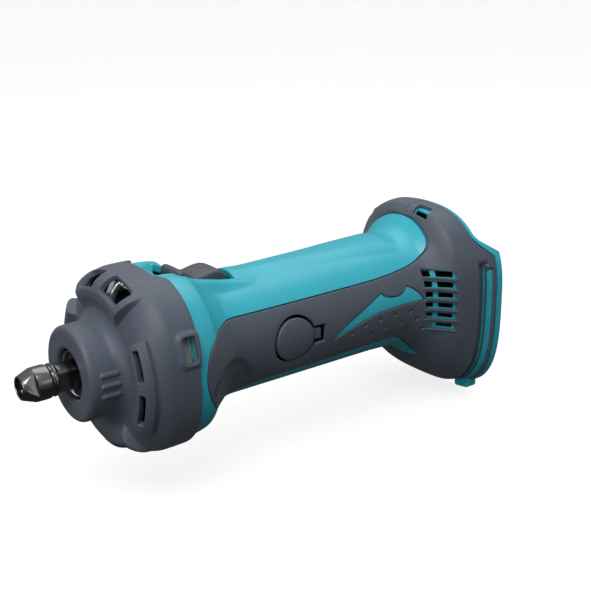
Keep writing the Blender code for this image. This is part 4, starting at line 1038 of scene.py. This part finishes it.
def around(quarter, across):
    return (quarter * math.pi / 2 + math.asin(across / FRAME_SCALE)) * HEAD_SCALE


def capsule(x, z, x0, x1, at, radius):
    """Distance from a short bar's middle line, less its radius."""
    return np.hypot(x - np.clip(x, x0, x1), z - at) - radius


def rim_distance(x, z, x0, x1, z0, z1, radius):
    """Distance outside a rounded rectangle."""
    dx = np.abs(x - (x0 + x1) / 2) - (x1 - x0) / 2 + radius
    dz = np.abs(z - (z0 + z1) / 2) - (z1 - z0) / 2 + radius
    return np.hypot(np.maximum(dx, 0), np.maximum(dz, 0)) + np.minimum(np.maximum(dx, dz), 0) - radius


SIDE_WINDOW = (33.4, 39.7, 8.4, 18.6)
SIDE_RIM = (31.0, 42.2, 6.6, 20.6)


def frame_rise(u, v):
    quarter, across = quarter_of(v)
    rise = np.where((quarter % 2) == 1, WIDE(u), SIDE(u))
    return rise * (1 - ease(np.abs(across), *FRAME_HALF))


def corner_rise(x, v):
    """The head is a rounded square: fuller between its four sides."""
    return 2.2 * np.sin(2 * v / HEAD_SCALE) ** 2 * ease(x, 20.0, 30.0)


def cover_lift(u, v, base):
    lift = frame_rise(u, v) + corner_rise(base[:, 0], v)
    x, z, side = base[:, 0], base[:, 2], np.abs(base[:, 1])
    head = (x > 28) & (side > 30)
    rim = 1 - ease(rim_distance(x, z, *SIDE_RIM, 3.0), -0.9, 0.3)
    lift = lift + 1.1 * rim * head
    nose = (x > 2) & (x < 14.5) & (side > 12)
    for at in RIB_HEIGHTS:
        lift = lift + 0.85 * (1 - ease(capsule(x, z, *RIB_X, at, 1.2), -0.8, 0.25)) * nose
    return lift


def cover_depth(u, v, base):
    """The boot's thickness; under the window frames and the corners its inside follows the outside."""
    x = base[:, 0]
    return np.where(x > 38.8, 1.0, 2.3) - 0.85 * frame_rise(u, v) - 0.8 * corner_rise(x, v)


def window_loop(surface, quarter, low, high, rear, front, radius):
    u0, u1 = surface.along(*rear), surface.along(*front)
    v0, v1 = around(quarter, low), around(quarter, high)
    return box_loop(u0, u1, min(v0, v1), max(v0, v1), radius)


def far_loop(loop):
    """A near side loop on the far side."""
    return [(u, math.pi * HEAD_SCALE - v) for u, v in loop]


def window_holes():
    """The air windows: a pair at each quarter, wide above and below and narrow at the sides."""
    holes = []
    for quarter in QUARTERS:
        wide = quarter % 2 == 1
        for low, high in (((3.1, 16.4), (-16.4, -3.1)) if wide else ((4.0, 17.2), (-16.4, -1.6))):
            across = (low, high) if quarter < 2 else (-low, -high)
            if wide:
                holes.append((window_loop(COVER, quarter, *across, (24.0, 39.2), (18.8, 33.4), 1.3), 0.45))
            else:
                holes.append((window_loop(COVER, quarter, *across, (19.5, 34.8), (18.5, 32.6), 0.8), 0.3))
    return holes


def cover_outline(length):
    """The boot unrolled, with a notch for the housing's tongue in its rear rim."""
    top = math.pi / 2 * HEAD_SCALE
    half = math.asin((TONGUE_HALF + 0.4) / 39.0) * HEAD_SCALE
    notch, corner, flare = COVER.along(36.6, 40.5), 3.5, 3.0
    rear = [(flare * (1 - math.cos(a)), half + flare * (1 - math.sin(a)))
            for a in np.radians((0, 30, 60, 90))]
    front = [(notch - corner + corner * math.sin(a), half - corner + corner * math.cos(a))
             for a in np.radians((0, 22, 45, 68, 90))]
    side = rear + front
    return ([(0.0, SEAM[0]), (length, SEAM[0]), (length, SEAM[1]), (0.0, SEAM[1])]
            + [(u, top + v) for u, v in side] + [(u, top - v) for u, v in side[::-1]])


def rib_dots():
    """Extra vertices on the ribs at both sides of the nose."""
    dots = []
    for far in (0, 1):
        for at in RIB_HEIGHTS:
            for x in np.arange(RIB_X[0] - 1.3, RIB_X[1] + 1.4, 0.3):
                for dz in np.arange(-1.56, 1.57, 0.26):
                    v = math.asin((at + dz) / 21.15) * HEAD_SCALE
                    dots.append((COVER.along(x, 21.2), math.pi * HEAD_SCALE - v if far else v))
    return dots


def build_cover():
    length = COVER.run[-1]
    holes = window_holes()
    x0, x1, z0, z1 = SIDE_WINDOW
    loop = [(COVER.along(x, 40.4), math.asin(z / 40.4) * HEAD_SCALE)
            for x, z in box_loop(x0, x1, z0, z1, 1.4)]
    holes += [(loop, 0.35), (far_loop(loop), 0.35)]
    lines = []
    for quarter in QUARTERS:
        for value in (-20.1, -19.7, -19.3, -19.0, 19.0, 19.3, 19.7, 20.1):
            v = around(quarter, value)
            lines.append(row([(COVER.along(26.4, 40.1), v), (COVER.along(16.5, 25.8), v)]))
        for x, r, _ in (WIDE_FRAME if quarter % 2 else SIDE_FRAME):
            u = COVER.along(x, r)
            lines.append(row([(u, around(quarter, -20.1)), (u, around(quarter, 20.1))]))
    skin = sheet((cover_outline(length), cover_edges), holes, COVER, 0.9, cover_depth, lift=cover_lift,
                 lines=lines, dots=rib_dots(), seam=SEAM, flip=True, edge_step=0.5)
    mesh = sheet_mesh("front_cover_skin", [skin], weld=True)
    return piece("front_cover_skin", mesh, "housing", GREY, ["front_cover"])


def cover_edges(line):
    """The cover's rear rim is rounded, its ends at the seam and inside the nose aren't."""
    plain = (np.abs(line[:, 1] - SEAM[0]) < 1e-6) | (np.abs(line[:, 1] - SEAM[1]) < 1e-6)
    return np.where(plain | (line[:, 0] > COVER.run[-1] - 0.01), 0.0, 0.7)


def build_bearing_box():
    """The casting inside the boot, with a window behind each of the boot's."""
    length = BOX.run[-1]
    holes = []
    for quarter in QUARTERS:
        for low, high in ((2.6, 15.8), (-15.8, -2.6)):
            holes.append((window_loop(BOX, quarter, low, high, (25.8, 36.6), (19.2, 26.6), 1.5), 0.8))
    outer = [(0.0, SEAM[0]), (length, SEAM[0]), (length, SEAM[1]), (0.0, SEAM[1])]
    skin = sheet((outer, 0.0), holes, BOX, 1.2, 3.0, seam=SEAM, flip=True, edge_step=0.7)
    mesh = sheet_mesh("bearing_box_skin", [skin], weld=True)
    return piece("bearing_box_casting", mesh, "housing", ALUMINIUM, ["bearing_box"])


def plate_lift(u, v, base):
    return np.full(len(u), 0.7)


def build_window_shade_plates():
    """Grey-green plates behind the side windows, standing clear of the casting: painted shade, in place of
    the lit casting seen through the windows.
    """
    loop = [(BOX.along(x, 37.5), math.asin(z / 37.6) * HEAD_SCALE)
            for x, z in box_loop(31.6, 38.4, 6.6, 20.2, 1.0)]
    plates = [sheet((one, 0.15), [], BOX, 1.0, -0.15, lift=plate_lift, flip=True)
              for one in (loop, far_loop(loop))]
    return piece("window_shade_plates", sheet_mesh("window_shade_plates", plates), "housing", CASTING_SHADE)


build_cover()
build_bearing_box()
build_window_shade_plates()


# ---------------------------------------------------------------- battery seat

def half_section(x, inset, top):
    """The -Y half of the body's section as (y, z), from the bottom up to a height."""
    points = []
    for angle in np.radians(np.linspace(-90.0, 90.0, 91)):
        across, up = section(np.array([x]), np.array([angle]))
        gap = inset[0] + (inset[1] - inset[0]) * float(ease(up[0], 13.0, 20.0))
        y, z = -max(float(across[0]) - gap * abs(math.cos(angle)), 0.07), float(up[0])
        z = z - math.copysign(gap, z) * abs(math.sin(angle)) ** 0.7
        if z > top:
            break
        points.append((y, z))
    return points


def slab(x0, x1, outer, bevel):
    """A flat plate across X with its rear edges rounded."""
    def plane(u, v):
        points = np.stack([np.full(len(u), x1), u, v], 1)
        return points, np.tile((1.0, 0.0, 0.0), (len(u), 1))
    return sheet((outer, bevel), [], plane, 3.0, x1 - x0, edge_step=1.0)


TERMINAL_WINDOW = (-22.3, -18.3, 12.3)       # its side, bottom and top
POCKET_HALF, POCKET_BOTTOM, POCKET_CHAMFER, MOUTH_HALF = 31.0, -44.0, 9.0, 27.5


def build_seat(label, side):
    """The walls of the battery seat: the terminal face, a shelf, the pocket, the rails and a lug."""
    y, low, high = TERMINAL_WINDOW
    wall = half_section(203.0, (7.5, 2.3), 60.0)
    wall = [wall[0], (-0.07, low), (y, low), (y, high), (-0.07, high)] + wall[::-1][:-1]
    shelf = half_section(207.0, (7.5, 2.3), 23.4)
    shelf = [shelf[0], (-0.07, low), (y, low), (y, high), (-0.07, high), (-0.07, 23.4)] + shelf[::-1][:-1]
    cup = half_section(211.5, (2.6, 2.3), 21.3)
    cup += [(-POCKET_HALF, 21.3), (-POCKET_HALF, POCKET_BOTTOM + POCKET_CHAMFER),
            (-POCKET_HALF + POCKET_CHAMFER, POCKET_BOTTOM), (-SEAM_GAP, POCKET_BOTTOM)]
    rail = half_section(214.5, (2.3, 2.3), 19.2)
    rail += [(-MOUTH_HALF, 19.2), (-MOUTH_HALF, POCKET_BOTTOM), (-0.07, POCKET_BOTTOM)]
    plates = [slab(201.4, 204.0, wall, 0.25), slab(203.8, 209.4, shelf, 0.25),
              slab(209.2, 213.4, cup, 0.25), slab(213.2, 216.3, rail, 0.4)]
    lug_loop = rounded([(-25.5, -50.0), (-25.5, -56.4), (-16.0, -57.8), (-16.0, -52.0)], 1.2)
    lug = slab(209.4, 215.4, lug_loop, 0.6)
    mesh = sheet_mesh("seat_plates_" + label, plates + [lug], side)
    return piece("battery_seat_" + label, mesh, "housing", TEAL, angle=30)


# ---------------------------------------------------------------- turned and carved pieces

def carved(mesh, cutter, name):
    """A mesh with another one cut away."""
    body, tool = bpy.data.objects.new(name, mesh), bpy.data.objects.new(name + "_tool", cutter)
    for made in (body, tool):
        bpy.context.scene.collection.objects.link(made)
    step = body.modifiers.new("cut", 'BOOLEAN')
    step.solver = 'EXACT'
    step.object = tool
    bpy.context.view_layer.update()
    result = bpy.data.meshes.new_from_object(body.evaluated_get(bpy.context.evaluated_depsgraph_get()))
    result.name = name
    for made in (body, tool):
        bpy.data.objects.remove(made, do_unlink=True)
    result.materials.clear()
    return result


def blocks(name, spans):
    """Boxes for cutting: (low corner, high corner, turn about X in degrees)."""
    work = bmesh.new()
    for low, high, turn in spans:
        low, high = Vector(low), Vector(high)
        size = high - low
        matrix = (Matrix.Rotation(math.radians(turn), 4, 'X') @ Matrix.Translation((low + high) / 2)
                  @ Matrix.Diagonal((*size, 1.0)))
        bmesh.ops.create_cube(work, size=1.0, matrix=matrix)
    return mesh_of(name, work)


NUT_OUTLINE = [(-7.0, 5.75), (-7.0, 6.5), (-7.25, 6.9), (-7.6, 7.15), (-8.2, 7.2), (-8.5, 7.0), (-8.75, 6.6),
               (-9.3, 6.5), (-9.7, 6.75), (-10.0, 7.15), (-10.5, 7.4), (-11.5, 7.45), (-16.2, 7.4),
               (-16.6, 7.3), (-21.9, 5.3), (-22.2, 5.05), (-22.3, 4.45), (-22.05, 4.2), (-20.1, 4.1),
               (-18.6, 4.75), (-16.0, 4.75), (-16.0, 5.75)]
NUT_FLAT, NUT_TURN, NUT_STEP = 5.45, 20.0, -16.4


def build_nose():
    """The nut, collet and spindle, and the rings around the spindle."""
    nut = turned_mesh("nut_blank", NUT_OUTLINE, 120)
    spans = [((-24.0, -12.0, NUT_FLAT), (NUT_STEP, 12.0, 12.0), turn - NUT_TURN) for turn in (90.0, 270.0)]
    nut = carved(nut, blocks("nut_flats", spans), "collet_nut_turned")
    piece("collet_nut_turned", nut, "collet_nut", NUT_STEEL, ["collet_nut"], 22)

    sleeve = [(-5.0, 3.1), (-5.0, 3.8), (-5.2, 3.95), (-15.2, 4.5), (-18.4, 4.45), (-20.0, 3.8), (-20.3, 3.6),
              (-20.3, 3.2), (-20.1, 3.1)]
    collet = turned_mesh("collet_blank", sleeve)
    slits = [((-25.0, -0.35, 1.5), (-7.0, 0.35, 6.5), 120.0 * i) for i in range(3)]
    collet = carved(collet, blocks("collet_slits", slits), "collet_turned")
    piece("collet_turned", collet, "collet", NUT_STEEL, ["collet"], 30)

    shaft = [(-4.8, 0.02), (114.0, 0.02), (114.0, 3.2), (113.7, 3.5), (106.0, 3.5), (106.0, 5.0), (37.0, 5.0),
             (37.0, 6.0), (5.2, 6.0), (5.2, 6.3), (-6.2, 6.3), (-6.6, 5.9), (-6.6, 5.55), (-15.1, 5.55),
             (-15.4, 5.25), (-15.4, 4.95), (-4.8, 4.15)]
    spindle = turned_mesh("spindle_blank", shaft)
    flats = [((-6.9, 5.0, -12.0), (2.5, 12.0, 12.0), turn) for turn in (0.0, 180.0)]
    spindle = carved(spindle, blocks("spanner_flats", flats), "spindle_turned")
    piece("spindle_turned", spindle, "rotor", NUT_STEEL, ["spindle"], 28)

    lip = [(5.3, 9.45), (2.0, 9.45), (1.75, 9.6), (1.75, 9.95), (2.0, 10.1), (4.0, 10.3), (4.2, 10.6),
           (4.2, 13.8), (5.3, 13.8)]
    retainer = turned_mesh("retainer", lip)
    piece("retainer_ring", retainer, "housing", STEEL, ["bearing_retainer"])
    ridged = [(5.0, 6.45), (3.2, 6.45), (3.05, 6.7), (3.05, 7.2), (3.4, 7.5), (3.4, 8.3), (3.1, 8.5),
              (3.1, 8.9), (3.3, 9.05), (5.0, 9.05)]
    washer = turned_mesh("washer", ridged)
    piece("dust_washer_moulded", washer, "rotor", RUBBER, ["dust_washer"])


# ---------------------------------------------------------------- switch knob

KNOB_TOP = through((50.4, 50.6, 51.1, 52.0, 53.2, 54.4, 55.8, 57.4, 58.4, 59.0, 59.4, 61.0, 63.5, 66.5, 69.5,
                    72.0, 74.2, 75.8, 76.8, 77.4),
                   (31.4, 33.8, 35.4, 36.2, 36.3, 35.6, 34.1, 32.5, 31.9, 31.7, 32.1, 32.1, 32.5, 33.1, 33.3,
                    32.9, 31.6, 30.2, 28.9, 27.8))
KNOB_LOW = through((50.4, 55.0, 62.0, 77.4), (30.4, 29.2, 27.6, 27.0))
KNOB_HALF = through((50.4, 51.0, 52.1, 58.0, 68.0, 72.5, 75.6, 77.4),
                    (6.6, 7.4, 7.9, 8.0, 8.0, 7.6, 6.4, 5.0))


def build_knob():
    """The knob from its profile, and the shutter that covers the well under it."""
    xs = np.concatenate([np.arange(50.4, 52.2, 0.15), np.arange(52.2, 58.2, 0.35), np.arange(58.2, 59.8, 0.1),
                         np.arange(59.8, 74.3, 0.5), np.arange(74.3, 77.41, 0.2)])
    rings = []
    for x in xs:
        top, low, half = float(KNOB_TOP(x)), float(KNOB_LOW(x)), float(KNOB_HALF(x))
        r = min(1.5, 0.45 * (top - low), half - 0.5)
        ring = [(-half, low), (-half, 0.5 * (low + top - r))]
        ring += [(-half + r * (1 - math.cos(a)), top - r + r * math.sin(a))
                 for a in np.radians(np.linspace(0, 90, 7))]
        for share in (-0.6, -0.3):
            ring.append((share * (half - r), top + 0.25 * (1 - share * share)))
        ring.append((0.0, top + 0.25))
        rings.append([(x, y, z) for y, z in ring] + [(x, -y, z) for y, z in ring[-2::-1]])
    count = len(rings[0])
    verts = [p for ring in rings for p in ring]
    faces = []
    for i in range(len(rings) - 1):
        for j in range(count):
            k = (j + 1) % count
            faces.append((i * count + j, i * count + k, (i + 1) * count + k, (i + 1) * count + j))
    faces += [tuple(range(count))[::-1], tuple((len(rings) - 1) * count + j for j in range(count))]
    mesh = cleaned(mesh_from("knob", verts, faces), outward=True)
    piece("switch_knob_moulded", mesh, "switch_knob", KNOB, ["switch_knob"], 32)

    def strip(u, v):
        points = np.stack([u, v, DECK(u) - 6.2], 1)
        return points, np.tile((0.0, 0.0, 1.0), (len(u), 1))
    plate = sheet((box_loop(53.0, 84.0, -7.6, 7.6, 1.0), 0.2), [], strip, 2.0, 0.9)
    piece("switch_shutter", sheet_mesh("shutter", [plate]), "switch_carriage", DARK)


# ---------------------------------------------------------------- screws and small parts

HEAD_RADIUS, HEAD_HEIGHT, SHANK_RADIUS = 3.1, 2.2, 1.7


def screw_mesh(name, length):
    """A pan head screw along +X from its tip, with a cross recess in the head."""
    start = length - HEAD_HEIGHT
    outline = [(0.0, 0.02), (0.0, 0.5), (1.6, SHANK_RADIUS)]
    x = 2.0
    while x < start - 3.0:
        outline += [(x, SHANK_RADIUS), (x + 0.45, SHANK_RADIUS + 0.22), (x + 0.9, SHANK_RADIUS)]
        x += 1.3
    outline += [(start, SHANK_RADIUS), (start, HEAD_RADIUS - 0.15), (start + 0.2, HEAD_RADIUS),
                (start + 0.9, HEAD_RADIUS), (length - 0.45, HEAD_RADIUS * 0.85),
                (length - 0.1, HEAD_RADIUS * 0.55), (length, HEAD_RADIUS * 0.25), (length, 0.02)]
    blank = turned_mesh(name, outline, 36)
    for turn in (0.0, 90.0):
        span = ((length - 1.3, -0.42, -1.75), (length + 1.0, 0.42, 1.75), turn)
        blank = carved(blank, blocks(name + "_cross", [span]), name)
    return blank


def build_screws():
    for i in range(5):
        low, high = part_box("housing_screw_%d" % (i + 1))
        length = (high.y - low.y) / MM
        mesh = screw_mesh("housing_screw_mesh_%d" % (i + 1), length)
        turn = Matrix.Rotation(math.radians(90.0), 4, 'Z')
        middle = Vector(((low.x + high.x) / 2, low.y, (low.z + high.z) / 2)) - NOSE
        mesh.transform(Matrix.Translation(middle) @ turn)
        piece("housing_screw_%d_fine" % (i + 1), mesh, "housing", IRON,
              ["housing_screw_%d" % (i + 1)], 35)


FINISHES = (
    (("armature_core", "motor_yoke", "head_screw"), IRON), (("armature_winding",), COPPER),
    (("commutator", "terminal_positive", "terminal_negative", "terminal_signal", "brush_spring"), BRASS),
    (("front_bearing", "rear_bearing"), STEEL), (("bearing_sleeve", "battery_cushion"), RUBBER),
    (("bearing_web", "cooling_fan", "fan_baffle", "brush_holder", "brush_cap", "switch_carriage",
      "switch_unit", "terminal_block"), DARK),
    (("carbon_brush",), CARBON), (("magnet",), FERRITE), (("control_board",), BOARD),
    (("lead_positive", "motor_lead_right"), RED_WIRE), (("lead_negative", "motor_lead_left"), BLACK_WIRE))
SOFTENED = ("terminal_block", "switch_carriage", "switch_unit", "battery_cushion", "control_board",
            "terminal_positive", "terminal_negative", "terminal_signal")


def dress_nodes():
    """Give the CAD nodes that stay their finishes, and round the edges of the boxy ones."""
    for name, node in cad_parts.items():
        for starts, finish in FINISHES:
            if any(name.startswith(start) for start in starts):
                node.data.materials.clear()
                node.data.materials.append(finish)
        if name in SOFTENED:
            edges = node.modifiers.new("edges", 'BEVEL')
            edges.width = 0.25 * MM
            edges.segments = 2
            edges.limit_method = 'ANGLE'
            edges.angle_limit = math.radians(40.0)


for label, side in SIDES:
    build_seat(label, side)
build_nose()
build_knob()
build_screws()
dress_nodes()


# ---------------------------------------------------------------- camera, light and floor

def look(azimuth, elevation, roll, distance, target, lens):
    """A camera round the object, in degrees and millimetres."""
    az, el, turn = [math.radians(a) for a in (azimuth, elevation, roll)]
    back = Vector((math.sin(az) * math.cos(el), -math.cos(az) * math.cos(el), math.sin(el)))
    right = Vector((math.cos(az), math.sin(az), 0.0))
    up = back.cross(right)
    across = math.cos(turn) * right + math.sin(turn) * up
    upright = math.cos(turn) * up - math.sin(turn) * right
    data = bpy.data.cameras.new("camera")
    data.lens = lens
    data.sensor_width = 36.0
    camera = bpy.data.objects.new("camera", data)
    bpy.context.scene.collection.objects.link(camera)
    turned_matrix = Matrix((across, upright, back)).transposed().to_4x4()
    place = NOSE + (Vector(target) + back * distance) * MM
    camera.matrix_world = Matrix.Translation(place) @ turned_matrix
    bpy.context.scene.camera = camera


def panel(name, place, target, size, power, colour=(1.0, 1.0, 1.0)):
    data = bpy.data.lights.new(name, 'AREA')
    data.shape = 'RECTANGLE'
    data.size, data.size_y = size
    data.energy = power
    data.color = colour
    light = bpy.data.objects.new(name, data)
    bpy.context.scene.collection.objects.link(light)
    place, target = Vector(place), Vector(target)
    turn = (target - place).to_track_quat('-Z', 'Y').to_matrix().to_4x4()
    light.matrix_world = Matrix.Translation(place) @ turn


look(-35.98, 19.93, -1.1, 548.1, (118.6, 0.0, 8.3), 70.35)
MIDDLE = NOSE + Vector((0.11, 0.0, 0.0))
panel("key", MIDDLE + Vector((-0.35, -0.35, 0.75)), MIDDLE, (0.5, 0.5), 5.0)
panel("top", MIDDLE + Vector((0.25, 0.25, 0.80)), MIDDLE, (0.9, 0.6), 3.0)
panel("front", MIDDLE + Vector((-0.80, -0.25, 0.25)), MIDDLE, (0.4, 0.5), 2.0)
panel("side", MIDDLE + Vector((0.35, -0.90, 0.35)), MIDDLE, (0.6, 0.3), 0.5)


def studio(sky, ground):
    """A white backdrop for the camera; its light is bright above and weak below."""
    world = bpy.data.worlds.new("studio")
    world.use_nodes = True
    tree = world.node_tree
    background, output = tree.nodes["Background"], tree.nodes["World Output"]
    place = tree.nodes.new("ShaderNodeTexCoord")
    parts = tree.nodes.new("ShaderNodeSeparateXYZ")
    tree.links.new(place.outputs["Generated"], parts.inputs["Vector"])
    level = tree.nodes.new("ShaderNodeMapRange")
    level.inputs["From Min"].default_value = -0.4
    level.inputs["From Max"].default_value = 0.7
    level.inputs["To Min"].default_value = ground
    level.inputs["To Max"].default_value = sky
    tree.links.new(parts.outputs["Z"], level.inputs["Value"])
    tree.links.new(level.outputs["Result"], background.inputs["Strength"])
    white = tree.nodes.new("ShaderNodeBackground")
    white.inputs["Strength"].default_value = 1.0
    seen = tree.nodes.new("ShaderNodeLightPath")
    choice = tree.nodes.new("ShaderNodeMixShader")
    tree.links.new(seen.outputs["Is Camera Ray"], choice.inputs[0])
    tree.links.new(background.outputs[0], choice.inputs[1])
    tree.links.new(white.outputs[0], choice.inputs[2])
    tree.links.new(choice.outputs[0], output.inputs["Surface"])
    for node in (background, white):
        node.inputs["Color"].default_value = (1.0, 1.0, 1.0, 1.0)
    bpy.context.scene.world = world


studio(0.55, 0.05)
bpy.context.scene.view_settings.view_transform = 'Standard'

work = bmesh.new()
bmesh.ops.create_grid(work, x_segments=1, y_segments=1, size=3.0)
floor_mesh = bpy.data.meshes.new("floor")
work.to_mesh(floor_mesh)
work.free()
floor = bpy.data.objects.new("floor", floor_mesh)
bpy.context.scene.collection.objects.link(floor)
floor.location = (0.0, 0.0, cad_box[0].z - 0.004)
paper = Nodes("paper")
paper.link(paper.blend(paper.ramp(paper.noise(20.0), 0.0, 1.0), (0.24, 0.24, 0.24), (0.26, 0.26, 0.26)),
           paper.shader.inputs["Base Color"])
paper.shader.inputs["Roughness"].default_value = 0.9
paper.shader.inputs["Emission Color"].default_value = (1.0, 1.0, 1.0, 1.0)
paper.shader.inputs["Emission Strength"].default_value = 0.8
floor_mesh.materials.append(paper.material)
floor.visible_diffuse = False
floor.visible_glossy = False
